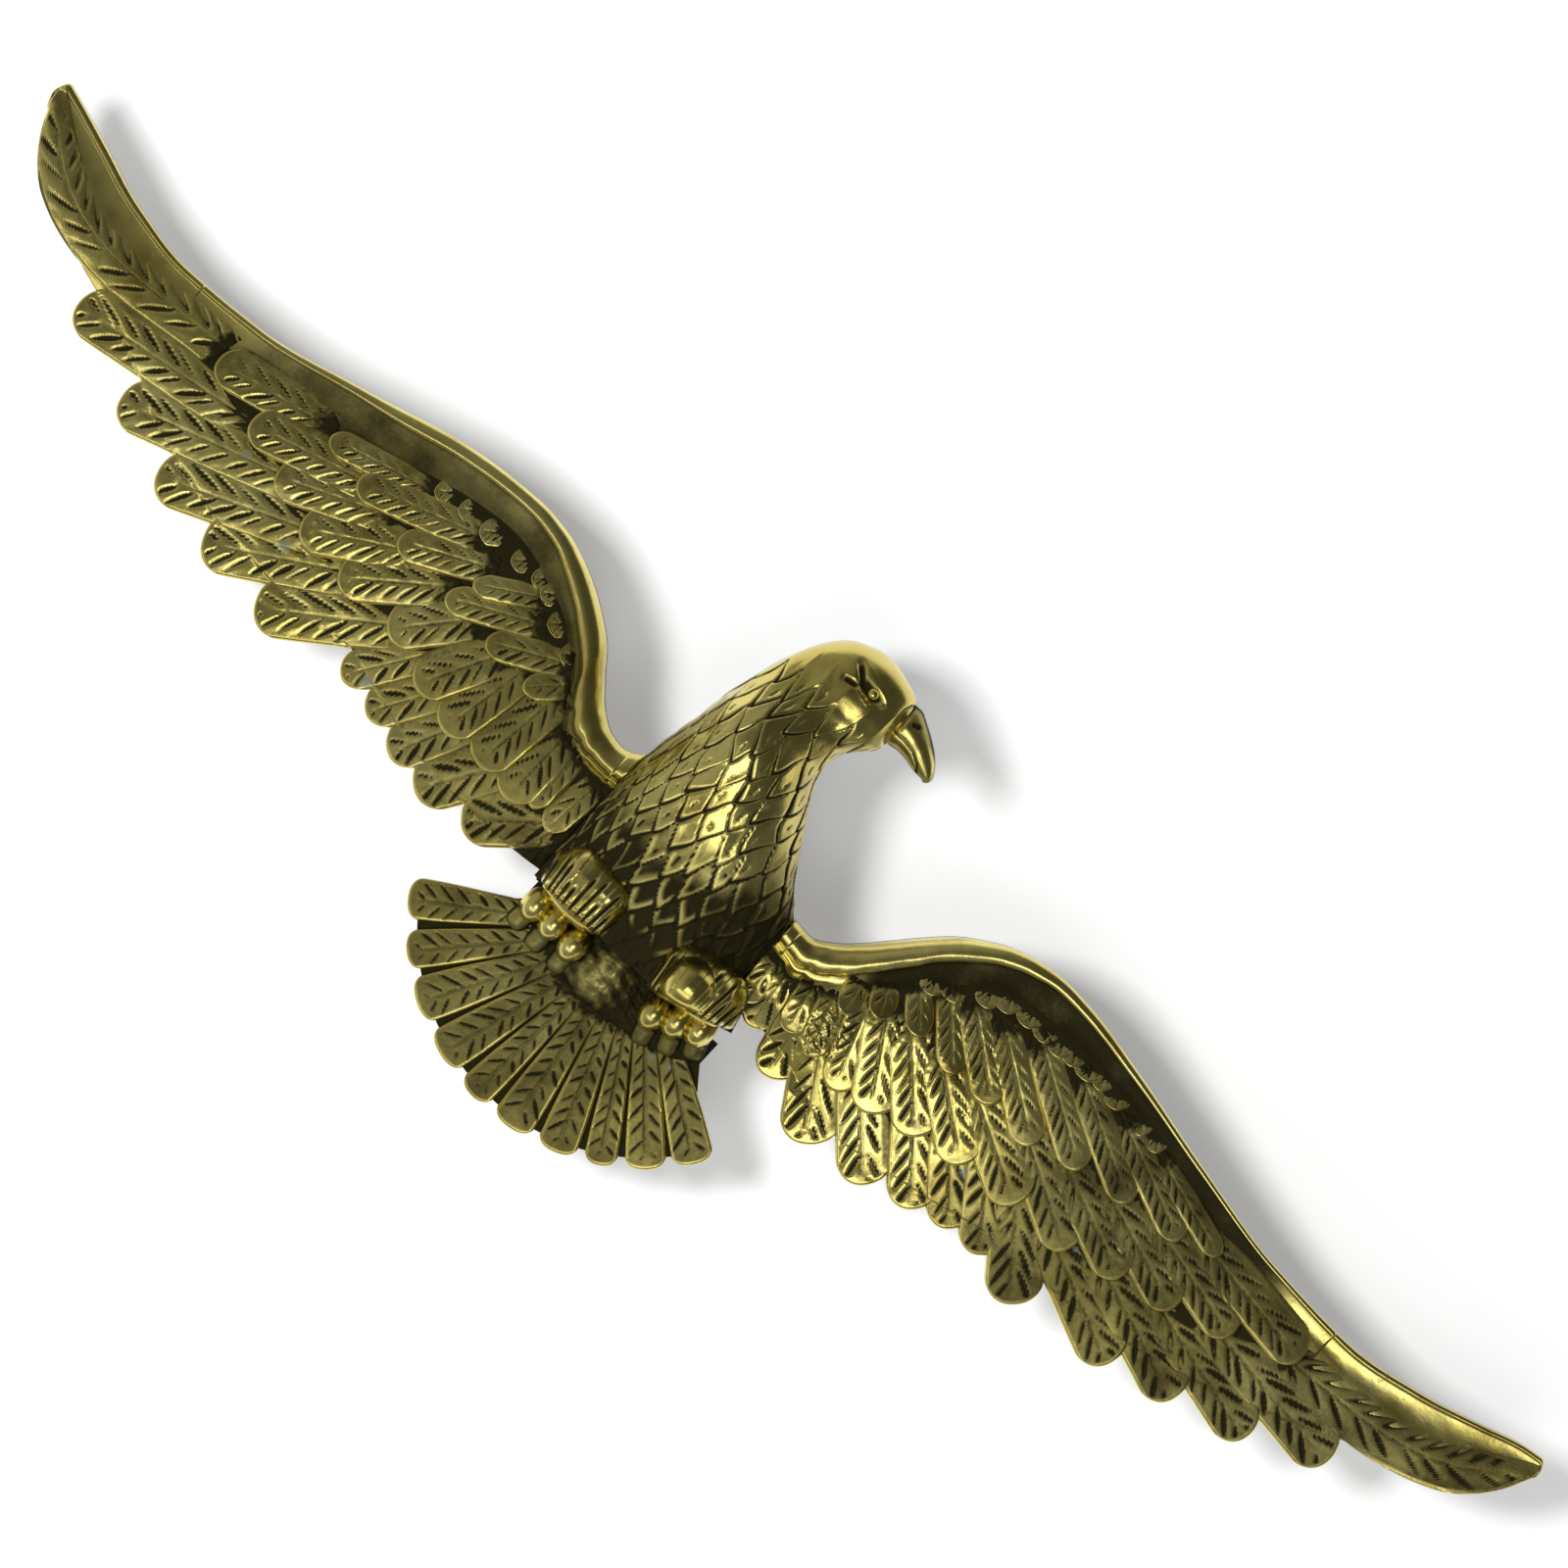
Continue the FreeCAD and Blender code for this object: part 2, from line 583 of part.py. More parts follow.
def body_shell():
    outer = joined("body_outer", [
        keep("torso", Part.makeLoft([body_profile(row[0], 0, 0) for row in body_section_shares], True)),
        keep("beak", beak()),
        ellipsoid("left_thigh", "sizes.thigh_width / 2", "sizes.thigh_height / 2", "sizes.thigh_length / 2",
                  "-sizes.left_foot_out", "sizes.thigh_middle", foot_level + " + sizes.thigh_rise"),
        ellipsoid("right_thigh", "sizes.thigh_width / 2", "sizes.thigh_height / 2", "sizes.thigh_length / 2",
                  "sizes.right_thigh_out", "sizes.thigh_middle", foot_level + " + sizes.thigh_rise"),
        ellipsoid("eye", "sizes.eye_radius", "sizes.eye_radius", "sizes.eye_radius",
                  "-sizes.eye_in", "sizes.eye_height", "sizes.hang_drop + sizes.eye_rise"),
    ])
    trims = [
        box("left_trim", "sizes.body_width", "sizes.body_height * 2", "sizes.body_drop",
            "-sizes.left_seam - sizes.body_width", "sizes.body_height + sizes.overrun", foot_level),
        box("right_trim", "sizes.body_width", "sizes.body_height * 2", "sizes.body_drop",
            "sizes.right_seam", "sizes.body_height + sizes.overrun", foot_level),
        box("foot_trim", "sizes.body_width * 2", "sizes.body_height * 2", "sizes.thigh_length",
            "-sizes.body_width", "sizes.body_height + sizes.overrun", foot_level + " - sizes.thigh_length"),
    ]
    tongue_low_side = "%.6g * sizes.wing_depth + sizes.hang_drop - sizes.tongue_width / 2 - sizes.slack"
    notches = [
        box("left_notch", notch_reach, notch_depth, notch_width,
            "-sizes.left_seam - sizes.overrun", tongue_top + " + sizes.slack",
            tongue_low_side % tongue_middle_share("left")),
        box("right_notch", notch_reach, notch_depth, notch_width,
            "sizes.right_seam - sizes.wall - sizes.overrun", tongue_top + " + sizes.slack",
            tongue_low_side % tongue_middle_share("right")),
        box("tail_notch", notch_width, notch_depth, notch_reach,
            "%.6g * sizes.body_width - sizes.tongue_width / 2 - sizes.slack" % tail_side_share,
            tongue_top + " + sizes.slack", foot_level + " - sizes.overrun"),
    ]
    holes = []
    for part in ("left", "right", "tail"):
        for x, z in joint_places(part):
            holes.append(keep(part + "_joint_hole", peg(x, z, size("joint_screw_radius") + size("fit"),
                                                       tongue_high - overrun,
                                                       tongue_low + size("joint_screw_length")
                                                       + size("slack"))))
    tools = joined("body_cuts", trims + notches + holes + [keep("body_hollow", body_hollow())])
    return less("body_shell", outer, tools)


def tail_fan():
    hub = (tail_x, body_foot + size("tail_hub_rise"))
    reach = size("tail_plate_radius")
    half_pad = size("tail_pad_width") / 2
    pad_side = body_foot - size("tail_pad_side")

    def spot(turn, radius):
        return hub[0] + radius * math.sin(math.radians(turn)), hub[1] - radius * math.cos(math.radians(turn))

    def flat(place, height):
        return at(place[0], height, place[1])

    def slab(sides, low_point, height):
        """A plate with two straight sides and a round lower edge, from the wall up to a height."""
        points = [flat(place, 0) for place in sides]
        half = len(points) // 2
        edges = [Part.makeLine(points[index - 1], points[index])
                 for index in range(len(points)) if index != half]
        edges.insert(half, Part.Arc(points[half - 1], flat(low_point, 0), points[half]).toShape())
        return Part.Face(Part.Wire(Part.__sortEdges__(edges))).extrude(FreeCAD.Vector(0, -height, 0))

    pad = slab([(-half_pad, body_foot), (-half_pad, pad_side), (half_pad, pad_side), (half_pad, body_foot)],
               (0, body_foot - size("tail_pad_length")), size("tail_pad_height"))
    plate = slab([(-half_pad, body_foot), (-half_pad, pad_side), spot(-tail_half_spread, reach),
                  spot(tail_half_spread, reach), (half_pad, pad_side), (half_pad, body_foot)],
                 spot(0, reach), size("tail_plate_height"))
    feathers = []
    for share, width_share in tail_feather_shares:
        turn = share * tail_half_spread
        feathers.append(feather(spot(turn, size("tail_root_radius")), spot(turn, size("tail_radius")),
                                (size("tail_feather_root"), size("tail_feather_tip") * width_share),
                                (size("tail_root_height"), size("tail_tip_height")),
                                size("feather_roll") * (1 if share < 0 else -1) / 2))
    hump = Part.makeSphere(1)
    stretch = FreeCAD.Matrix()
    stretch.scale(size("hump_radius"), size("hump_height") - size("tail_plate_height"), size("hump_radius"))
    hump = hump.transformGeometry(stretch)
    hump.translate(at(tail_x, size("tail_plate_height"), body_foot - size("hump_drop")))
    half_tongue = size("tongue_width") / 2
    tongue = block((tail_x - half_tongue, tail_x + half_tongue),
                   (body_foot - wall, body_foot + size("tongue_reach")), tongue_low, tongue_high)
    solid = pad.fuse([plate, hump] + feathers)
    above_body_foot = Part.makeBox(4 * half_pad, 4 * size("body_height"), body_length,
                                   at(-2 * half_pad, 2 * size("body_height"), body_foot))
    solid = solid.cut([behind_wall(solid), above_body_foot]).fuse(tongue)
    holes = [peg(x, z, size("joint_screw_radius") + size("slack"), tongue_low - overrun,
                 tongue_high + overrun) for x, z in joint_places("tail")]
    for x, z in peg_places():
        holes.append(peg(x, z, size("peg_radius") + size("fit"),
                         size("tail_pad_height") - size("peg_length") - size("slack"),
                         size("tail_pad_height") + overrun))
    return solid.cut(holes)


def peg_places():
    return [(-size("left_foot_out"), body_foot - size("left_foot_drop")),
            (size("right_foot_out"), body_foot - size("right_foot_drop"))]


def foot(side, sign):
    """Three knuckles with claws under an ankle, cut flat where it sits on the tail."""
    middle = "%d * sizes.%s_foot_out" % (sign, side)
    level = "%s - sizes.%s_foot_drop" % (foot_level, side)
    seat = "sizes.tail_pad_height"
    lumps = [cylinder(side + "_ankle", "sizes.ankle_radius", "sizes.%s_foot_drop" % side,
                      middle, "sizes.ankle_middle", level, upright=True)]
    for toe in (-1, 0, 1):
        x = "%s + %d * sizes.toe_pitch" % (middle, toe)
        z = "%s + %d * sizes.toe_step" % (level, toe * sign)
        lumps.append(ellipsoid("%s_knuckle_%d" % (side, toe + 2), "sizes.knuckle_width / 2",
                               "sizes.knuckle_height / 2", "sizes.knuckle_length / 2",
                               x, seat + " + sizes.knuckle_height / 2", z))
        lumps.append(ellipsoid("%s_claw_%d" % (side, toe + 2), "sizes.claw_width / 2",
                               "sizes.claw_height / 2", "sizes.claw_length / 2",
                               x, seat + " + sizes.claw_height / 3", z + " - sizes.claw_drop"))
    trims = [
        box(side + "_seat_trim", "sizes.body_width", "sizes.body_height", "sizes.body_width",
            middle + " - sizes.body_width / 2", seat, level + " - sizes.body_width / 2"),
        box(side + "_thigh_trim", "sizes.body_width", "sizes.body_height", "sizes.body_width",
            middle + " - sizes.body_width / 2", "sizes.body_height", foot_level),
    ]
    toes = less(side + "_toes", joined(side + "_lumps", lumps), joined(side + "_trims", trims))
    stud = cylinder(side + "_peg", "sizes.peg_radius", "sizes.peg_length + sizes.knuckle_height / 2",
                    middle, seat + " - sizes.peg_length", level)
    return joined(side + "_foot", [toes, stud])


def origin_plane(body, role):
    return next(item for item in body.Origin.OriginFeatures if item.Role == role)


def sketch_on(body, name):
    sketch = body.newObject("Sketcher::SketchObject", name)
    sketch.AttachmentSupport = [(origin_plane(body, "XZ_Plane"), "")]
    sketch.MapMode = "FlatFace"
    return sketch


def driven(sketch, kind, places, expression):
    """A dimension in a sketch that follows the sheet."""
    index = sketch.addConstraint(Sketcher.Constraint(kind, *places, sheet.evalExpression(expression)))
    sketch.setExpression("Constraints[%d]" % index, expression)


def hole_circle(sketch, drop, radius):
    """A circle on the sketch's upright axis, below the origin or, where drop is negative, above it."""
    index = sketch.addGeometry(Part.Circle(FreeCAD.Vector(0, -sheet.evalExpression(drop), 0),
                                           FreeCAD.Vector(0, 0, 1), sheet.evalExpression(radius)))
    sketch.addConstraint(Sketcher.Constraint("PointOnObject", index, 3, -2))
    if drop == "0":
        sketch.addConstraint(Sketcher.Constraint("PointOnObject", index, 3, -1))
    else:
        driven(sketch, "DistanceY", (index, 3, -1, 1), drop)
    driven(sketch, "Radius", (index,), radius)


def obround(sketch, drop, rise, radius):
    """A slot outline on the upright axis; its end centres lie below and above the origin."""
    low, high, r = (-sheet.evalExpression(drop), sheet.evalExpression(rise), sheet.evalExpression(radius))
    up = FreeCAD.Vector(0, 0, 1)
    high_arc, low_arc = (sketch.addGeometry(Part.ArcOfCircle(
        Part.Circle(FreeCAD.Vector(0, level, 0), up, r), start, start + math.pi))
        for level, start in ((high, 0), (low, math.pi)))
    left = sketch.addGeometry(Part.LineSegment(FreeCAD.Vector(-r, high, 0), FreeCAD.Vector(-r, low, 0)))
    right = sketch.addGeometry(Part.LineSegment(FreeCAD.Vector(r, low, 0), FreeCAD.Vector(r, high, 0)))
    for ends in ((high_arc, 2, left, 1), (left, 2, low_arc, 1), (low_arc, 2, right, 1), (right, 2, high_arc, 1)):
        sketch.addConstraint(Sketcher.Constraint("Tangent", *ends))
    sketch.addConstraint(Sketcher.Constraint("PointOnObject", high_arc, 3, -2))
    driven(sketch, "Radius", (high_arc,), radius)
    driven(sketch, "DistanceY", (-1, 1, high_arc, 3), rise)
    if drop == "0":
        sketch.addConstraint(Sketcher.Constraint("PointOnObject", low_arc, 3, -1))
    else:
        driven(sketch, "DistanceY", (low_arc, 3, -1, 1), drop)


def hanger_x(sign):
    return "%.7g * sizes.wing_span" % (sign * hanger_share / 2)


def through_cut(body, sketch, name):
    cut = body.newObject("PartDesign::Pocket", name)
    cut.Profile = sketch
    cut.Type = 1
    cut.Midplane = True
    return cut


def hanger_plate(side, sign):
    """A keyhole plate: the screw's head enters the round hole and slides up the slot."""
    body = doc.addObject("PartDesign::Body", side + "_hanger_plate")
    outline = sketch_on(body, side + "_plate_outline")
    end_centre = "sizes.plate_length / 2 - sizes.plate_width / 2"
    obround(outline, end_centre, end_centre, "sizes.plate_width / 2")
    pad = body.newObject("PartDesign::Pad", side + "_plate_pad")
    pad.Profile = outline
    pad.setExpression("Length", "sizes.plate_thickness")
    doc.recompute()
    entry = sketch_on(body, side + "_key_entry")
    hole_circle(entry, "0", "sizes.key_radius")
    through_cut(body, entry, side + "_key_entry_cut")
    slot = sketch_on(body, side + "_key_slot")
    obround(slot, "0", "sizes.slot_travel", "sizes.slot_radius")
    through_cut(body, slot, side + "_key_slot_cut")
    holes = sketch_on(body, side + "_plate_holes")
    hole_circle(holes, "sizes.plate_screw_pitch / 2", "sizes.plate_screw_radius + sizes.slack")
    hole_circle(holes, "-sizes.plate_screw_pitch / 2", "sizes.plate_screw_radius + sizes.slack")
    through_cut(body, holes, side + "_plate_holes_cut")
    return bind(body, x=hanger_x(sign), y="-sizes.plate_back")


def screw_pair(name, kind, seat, places):
    """Two slotted round-head screws whose heads sit on the wall side of a face."""
    solids, slots = [], []
    for number, (x, z) in enumerate(places, start=1):
        tag = "%s_%d" % (name, number)
        head_level = "%s - sizes.%s_head_height" % (seat, kind)
        solids.append(cylinder(tag + "_head", "sizes.%s_head_radius" % kind, "sizes.%s_head_height" % kind,
                               x, head_level, z))
        solids.append(cylinder(tag + "_shank", "sizes.%s_screw_radius" % kind,
                               "sizes.%s_screw_length" % kind, x, seat, z))
        slots.append(box(tag + "_slot", "sizes.%s_head_radius * 2" % kind, "sizes.drive_depth * 2",
                         "sizes.drive_width", "%s - sizes.%s_head_radius" % (x, kind),
                         head_level + " + sizes.drive_depth", z + " - sizes.drive_width / 2"))
    return less(name, joined(name + "_solids", solids), joined(name + "_slots", slots))


def joint_screws(part):
    places = [("%.6g" % x, "%.6g" % z) for x, z in joint_places(part)]
    return screw_pair(part + ("_screws" if part == "tail" else "_wing_screws"), "joint",
                      "sizes.tongue_back", places)


def hanger_screws(side, sign):
    x = hanger_x(sign)
    places = [(x, "%d * sizes.plate_screw_pitch / 2" % end) for end in (-1, 1)]
    return screw_pair(side + "_hanger_screws", "plate", "sizes.plate_back", places)


nodes = [body_shell(), keep("tail_fan", tail_fan()), joint_screws("tail")]
for side, sign in (("left", -1), ("right", 1)):
    nodes += [keep(side + "_wing", wing(side, sign)), foot(side, sign), hanger_plate(side, sign),
              hanger_screws(side, sign), joint_screws(side)]
doc.recompute()

for item in doc.Objects:
    if any(state in item.State for state in ("Invalid", "Error")):
        raise RuntimeError("%s failed: %s" % (item.Label, item.State))
for node in nodes:
    shape = node.Shape
    if shape.isNull() or not shape.isValid() or not shape.Solids:
        raise RuntimeError("%s has no valid solid" % node.Label)
    print("%-22s solids %d  faces %4d  volume %9.1f mm3" %
          (node.Label, len(shape.Solids), len(shape.Faces), shape.Volume))
    shape.exportStep("parts/%s.step" % node.Label)
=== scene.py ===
import math

import bpy
import numpy as np
from mathutils import Matrix, Vector


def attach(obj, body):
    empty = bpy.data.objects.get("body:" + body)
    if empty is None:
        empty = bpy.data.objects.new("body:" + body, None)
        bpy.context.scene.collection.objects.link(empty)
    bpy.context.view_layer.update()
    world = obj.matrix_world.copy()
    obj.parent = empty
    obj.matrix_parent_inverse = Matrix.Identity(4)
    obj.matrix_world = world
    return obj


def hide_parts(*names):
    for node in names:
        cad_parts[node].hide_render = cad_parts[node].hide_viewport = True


# A cast brass eagle that hangs on a wall. x runs along the wings, z is up and the wall is the plane y = 0.
# Sizes are in millimetres, and a height is measured from the wall towards the viewer, so it is -y.
# The origin lies midway between the two keyhole plates, so z is 25 on the line through the wing tips.

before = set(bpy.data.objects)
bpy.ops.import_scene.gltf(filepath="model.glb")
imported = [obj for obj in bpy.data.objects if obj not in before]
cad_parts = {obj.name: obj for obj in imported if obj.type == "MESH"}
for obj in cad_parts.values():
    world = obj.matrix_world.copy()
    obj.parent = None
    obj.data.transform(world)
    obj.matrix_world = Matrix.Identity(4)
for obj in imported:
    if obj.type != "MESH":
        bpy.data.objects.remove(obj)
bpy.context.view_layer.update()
mm = 0.001

plaque = {
    "halfSpan": 305,
    "tipLevel": 25,
    "wall": 3.5,
    "bodyDrop": 78,         # line through the tips down to the body's lower edge
    "leftSeam": 38.5,       # centre plane to each wing's root face
    "rightSeam": 28,
    "tongueLow": 3,         # the tongues that carry wings and tail lie between these heights
    "tongueHigh": 6.5,
    "tongueReach": 16,
    "tongueWidth": 26,
}
tipLevel = plaque["tipLevel"]
wall = plaque["wall"]
bodyFoot = tipLevel - plaque["bodyDrop"]


def blend(start, end, share):
    return start + (end - start) * share


def ramp(low, high, value):
    share = np.clip((value - low) / (high - low), 0, 1)
    return share * share * (3 - 2 * share)


def smoothCurve(knots, values, places):
    # a curve through the knots that never overshoots them
    knots, values = np.asarray(knots, float), np.asarray(values, float)
    places = np.clip(places, knots[0], knots[-1])
    steps = np.diff(values) / np.diff(knots)
    slopes = np.zeros(len(knots))
    same = steps[:-1] * steps[1:] > 0
    slopes[1:-1][same] = 2 * steps[:-1][same] * steps[1:][same] / (steps[:-1][same] + steps[1:][same])
    slopes[0], slopes[-1] = steps[0], steps[-1]
    index = np.clip(np.searchsorted(knots, places, side="right") - 1, 0, len(knots) - 2)
    gap = knots[index + 1] - knots[index]
    t = (places - knots[index]) / gap
    return (values[index] * (1 + 2 * t) * (1 - t) ** 2 + values[index + 1] * t * t * (3 - 2 * t)
            + gap * slopes[index] * t * (1 - t) ** 2 + gap * slopes[index + 1] * t * t * (t - 1))


def ripple(x, z, scale, seed=0.0):
    # a slow unevenness between -1 and 1, as a hand finished casting has
    x, z = x / scale + seed * 3.1, z / scale - seed * 1.7
    return (np.sin(1.9 * x + 1.3 * np.sin(1.1 * z + seed)) + np.sin(2.3 * z + 1.7 * np.sin(0.9 * x))
            + np.sin(1.3 * (x + z) + 2.1 * np.sin(0.7 * (x - z)))) / 3


# meshes

def addObject(name, data):
    piece = bpy.data.objects.new(name, data)
    bpy.context.scene.collection.objects.link(piece)
    return piece


def meshObject(name, points, faces, patina=None, smooth=True):
    # points hold x, height and z in millimetres
    points = np.asarray(points, float).reshape(-1, 3)
    place = np.column_stack([points[:, 0], -points[:, 1], points[:, 2]]) * mm
    mesh = bpy.data.meshes.new(name)
    mesh.from_pydata(place.tolist(), [], faces)
    if signedVolume(mesh) < 0:
        mesh.flip_normals()
    mesh.update()
    mesh.shade_smooth() if smooth else mesh.shade_flat()
    values = np.zeros(len(points)) if patina is None else np.asarray(patina, float).ravel()
    mesh.attributes.new("patina", "FLOAT", "POINT").data.foreach_set("value", values.astype(np.float32))
    return addObject(name, mesh)


def signedVolume(mesh):
    corners = np.empty(len(mesh.vertices) * 3, np.float32)
    mesh.vertices.foreach_get("co", corners)
    corners = corners.reshape(-1, 3).astype(float)
    mesh.calc_loop_triangles()
    triangles = np.empty(len(mesh.loop_triangles) * 3, np.int32)
    mesh.loop_triangles.foreach_get("vertices", triangles)
    a, b, c = (corners[triangles.reshape(-1, 3)[:, k]] for k in range(3))
    return float(np.einsum("ij,ij->i", a, np.cross(b, c)).sum())


def tube(rings):
    # closed rings of points, joined into one closed skin with a face at each end
    rings = np.asarray(rings, float)
    count, around = rings.shape[:2]
    index = np.arange(count * around).reshape(count, around)
    ahead = np.roll(index, -1, axis=1)
    quads = np.stack([index[:-1], ahead[:-1], ahead[1:], index[1:]], axis=-1).reshape(-1, 4).tolist()
    return rings.reshape(-1, 3), quads + [index[0][::-1].tolist(), index[-1].tolist()]


def gather(parts):
    # several (points, faces, patina) shapes as one
    points, faces, patina, start = [], [], [], 0
    for shape in parts:
        corners = np.asarray(shape[0], float).reshape(-1, 3)
        points.append(corners)
        faces += [[start + corner for corner in face] for face in shape[1]]
        patina.append(np.zeros(len(corners)) if len(shape) < 3 else np.asarray(shape[2], float).ravel())
        start += len(corners)
    return np.concatenate(points), faces, np.concatenate(patina)


def ball(x, height, z, across, depth, upright, columns, rows):
    # an ellipsoid
    turn = np.linspace(0, 2 * math.pi, columns, endpoint=False)
    rise = np.linspace(-0.5, 0.5, rows + 1)[1:-1] * math.pi
    ring = np.stack([np.outer(np.cos(rise), np.cos(turn)), np.outer(np.cos(rise), np.sin(turn)),
                     np.repeat(np.sin(rise)[:, None], columns, 1)], axis=-1)
    return tube(ring * np.array([across, depth, upright]) + np.array([x, height, z]))


def prism(outline, low, high):
    # an outline of x and z, raised square to the wall from one height to another
    x, z = np.asarray(outline, float).T
    return tube([np.stack([x, np.full(len(x), height), z], axis=-1) for height in (low, high)])


def bar(x, z, radius, low, high, columns=28):
    turn = np.linspace(0, 2 * math.pi, columns, endpoint=False)
    return prism(np.stack([x + radius * np.cos(turn), z + radius * np.sin(turn)], axis=-1), low, high)


def slab(x, z, low, high):
    return prism([(x[0], z[0]), (x[1], z[0]), (x[1], z[1]), (x[0], z[1])], low, high)


# wings

wingLook = {
    "rimHeight": (20, 4.5),     # at the root and at the tip
    "troughDepth": (3, 0.6),
    "camber": (3.5, 0.6),
    "edgeHeight": (7, 3),
    "fade": 1.3,                # how fast the root value gives way to the tip value
    "hollowReach": 0.76,
    "stations": 330,
    "hangerPitch": 190,
    "plateBossPitch": 30,
    "plateBossRadius": 4.2,
    "plateHigh": 4.5,
    "tipRound": 2.4,
    "crestShare": 0.66,         # where the rim is highest, over its width
    # painted shade in the trough behind the rim, for each wing
    "troughShade": {"left": 0.6, "right": 0.74},
    "troughShadeReach": (44, 60, 200, 230),   # distance out between which the painted shade in the trough darkens and clears again
    "fieldDarkEnd": (216, 234),
    "rootDark": 4,              # how far the dark of the seam reaches
}
# along each wing, by distance out: its edges above the line through the tips, and the widths of the
# rounded rim and of the smooth trough behind it; then the pitted corner, as x, z and its half sizes
wingLines = {
    "left": {
        "lead": [(38.5, -28.6), (41.2, -30.6), (45.2, -32.2), (50.4, -31.3), (56.9, -27.3), (63.5, -20.2),
                 (70, -12.5), (76.3, -7.6), (84, -2.8), (92.1, 1.0), (101, 3.8), (111.9, 5.1), (124, 4.6),
                 (140.3, 2.6), (175, -6.4), (210.5, -14.5), (240, -16.2), (262.3, -12.5), (282.1, -6),
                 (295.9, -1.5), (304.1, 1)],
        "trail": [(38.5, -76), (50, -77), (62, -77), (76, -77), (92, -75), (112, -70), (127, -66),
                  (140.3, -68), (175, -66), (210.5, -57.5), (240, -44.5), (262.3, -37.6), (282.1, -31.3),
                  (295.9, -21.5), (304.1, -7.5)],
        "rim": [(38.5, 9), (60, 9), (75, 8.6), (90, 7.4), (105, 5.4), (120, 4.8), (150, 4.9), (177, 3),
                (200, 2.2), (245, 2), (280, 2.6), (305, 2.6)],
        "trough": [(38.5, 1.5), (60, 2.5), (85, 3.5), (100, 6.5), (120, 7), (150, 9), (178, 11), (190, 9.5),
                   (205, 8.3), (220, 7.5), (240, 6.5), (270, 7), (290, 5), (305, 3)],
        "rough": (-44.5, -72.5, 7, 8),
    },
    "right": {
        "lead": [(28, -34.6), (34.6, -35.2), (41.1, -31.9), (47.6, -26), (54.2, -18.6), (60.7, -11.4),
                 (67, -5.2), (74, -0.3), (82, 3.9), (90, 6.2), (100, 7.3), (112, 6.4), (135.1, 2),
                 (169.9, -5.9), (205, -12.5), (237, -14.4), (262.3, -10.5), (282.1, -5.1), (295.9, -0.9),
                 (304.1, 0.4)],
        "trail": [(28, -65.5), (38, -65.5), (50, -66), (64, -70), (80, -74), (100, -71), (117, -68),
                  (133, -64.5), (170, -62.5), (205, -55.5), (237, -44.5), (262.3, -34.4), (282.1, -29),
                  (295.9, -19.5), (304.1, -6.5)],
        "rim": [(28, 7.5), (40, 8.5), (55, 9), (70, 8), (80, 6.5), (90, 5.2), (100, 4), (120, 3.2),
                (150, 2.1), (170, 1.8), (200, 1.5), (250, 2), (290, 1.6), (305, 1.6)],
        "trough": [(28, 2), (40, 3), (50, 4.5), (60, 6), (75, 7.5), (100, 7.6), (120, 5.8), (140, 4.6),
                   (170, 4.8), (180, 6), (200, 7.4), (215, 5.6), (230, 5.2), (250, 6.4), (270, 7.6),
                   (290, 6.2), (305, 4.5)],
        "rough": (57.5, -53.5, 6, 7.5),
    },
}


def wingLine(side, name, out):
    table = np.array(wingLines[side][name], float)
    return smoothCurve(table[:, 0], table[:, 1], out)


def wingSection(side, out):
    out = np.asarray(out, float)
    seam = plaque[side + "Seam"]
    lead, ahead = tipLevel + wingLine(side, "lead", out), tipLevel + wingLine(side, "lead", out + 1)
    share = np.clip(1 - (out - seam) / (plaque["halfSpan"] - seam), 0, 1) ** wingLook["fade"]
    size = {name: blend(wingLook[name][1], wingLook[name][0], share)
            for name in ("rimHeight", "troughDepth", "camber", "edgeHeight")}
    stretch = np.minimum(np.hypot(1, ahead - lead), 1.6)
    rimWidth = wingLine(side, "rim", out) * stretch
    return {
        "lead": lead, "trail": tipLevel + wingLine(side, "trail", out), "rim": size["rimHeight"],
        "rimWidth": rimWidth, "fieldStart": lead - rimWidth - wingLine(side, "trough", out) * stretch,
        "depth": size["troughDepth"], "field": size["rimHeight"] - size["troughDepth"],
        "camber": size["camber"], "edge": size["edgeHeight"],
    }


def fieldHeight(section, z):
    along = np.clip((section["fieldStart"] - z) / (section["fieldStart"] - section["trail"]), 0, 1)
    return blend(section["field"], section["edge"], along) + 4 * section["camber"] * along * (1 - along)


def wingFront(section):
    # z and height of the front at one station: side, rounded rim, trough, feather field, lower edge
    lead, trail, rim, width = section["lead"], section["trail"], section["rim"], section["rimWidth"]
    crest, foot = lead - wingLook["crestShare"] * width, lead - width
    round_ = min(wingLook["crestShare"] * width, 0.8 * rim)
    low = rim - min(1.15 * section["depth"], 0.36 * width)
    z, height = [lead, lead, lead], [0, 0.4 * rim, 0.75 * (rim - round_)]
    for turn in np.linspace(0, 90, 12):
        z.append(crest + (lead - crest) * math.cos(math.radians(turn)))
        height.append(rim - round_ * (1 - math.sin(math.radians(turn))))
    for share in np.linspace(0, 1, 16)[1:]:
        z.append(blend(crest, foot, share))
        height.append(low + (rim - low) * math.sqrt(max(0, 1 - share ** 2)))
    for share in np.linspace(0, 1, 13)[1:]:
        z.append(blend(foot, section["fieldStart"], share))
        height.append(blend(low, section["field"], share) - 1.1 * section["depth"] * share * (1 - share))
    for share in np.linspace(0, 1, 45)[1:]:
        z.append(blend(section["fieldStart"], trail, share))
        height.append(float(fieldHeight(section, z[-1])))
    lastEdge = height[-1]
    for share in (0.5, 0.1, 0):
        z.append(trail)
        height.append(lastEdge * share)
    return z, height


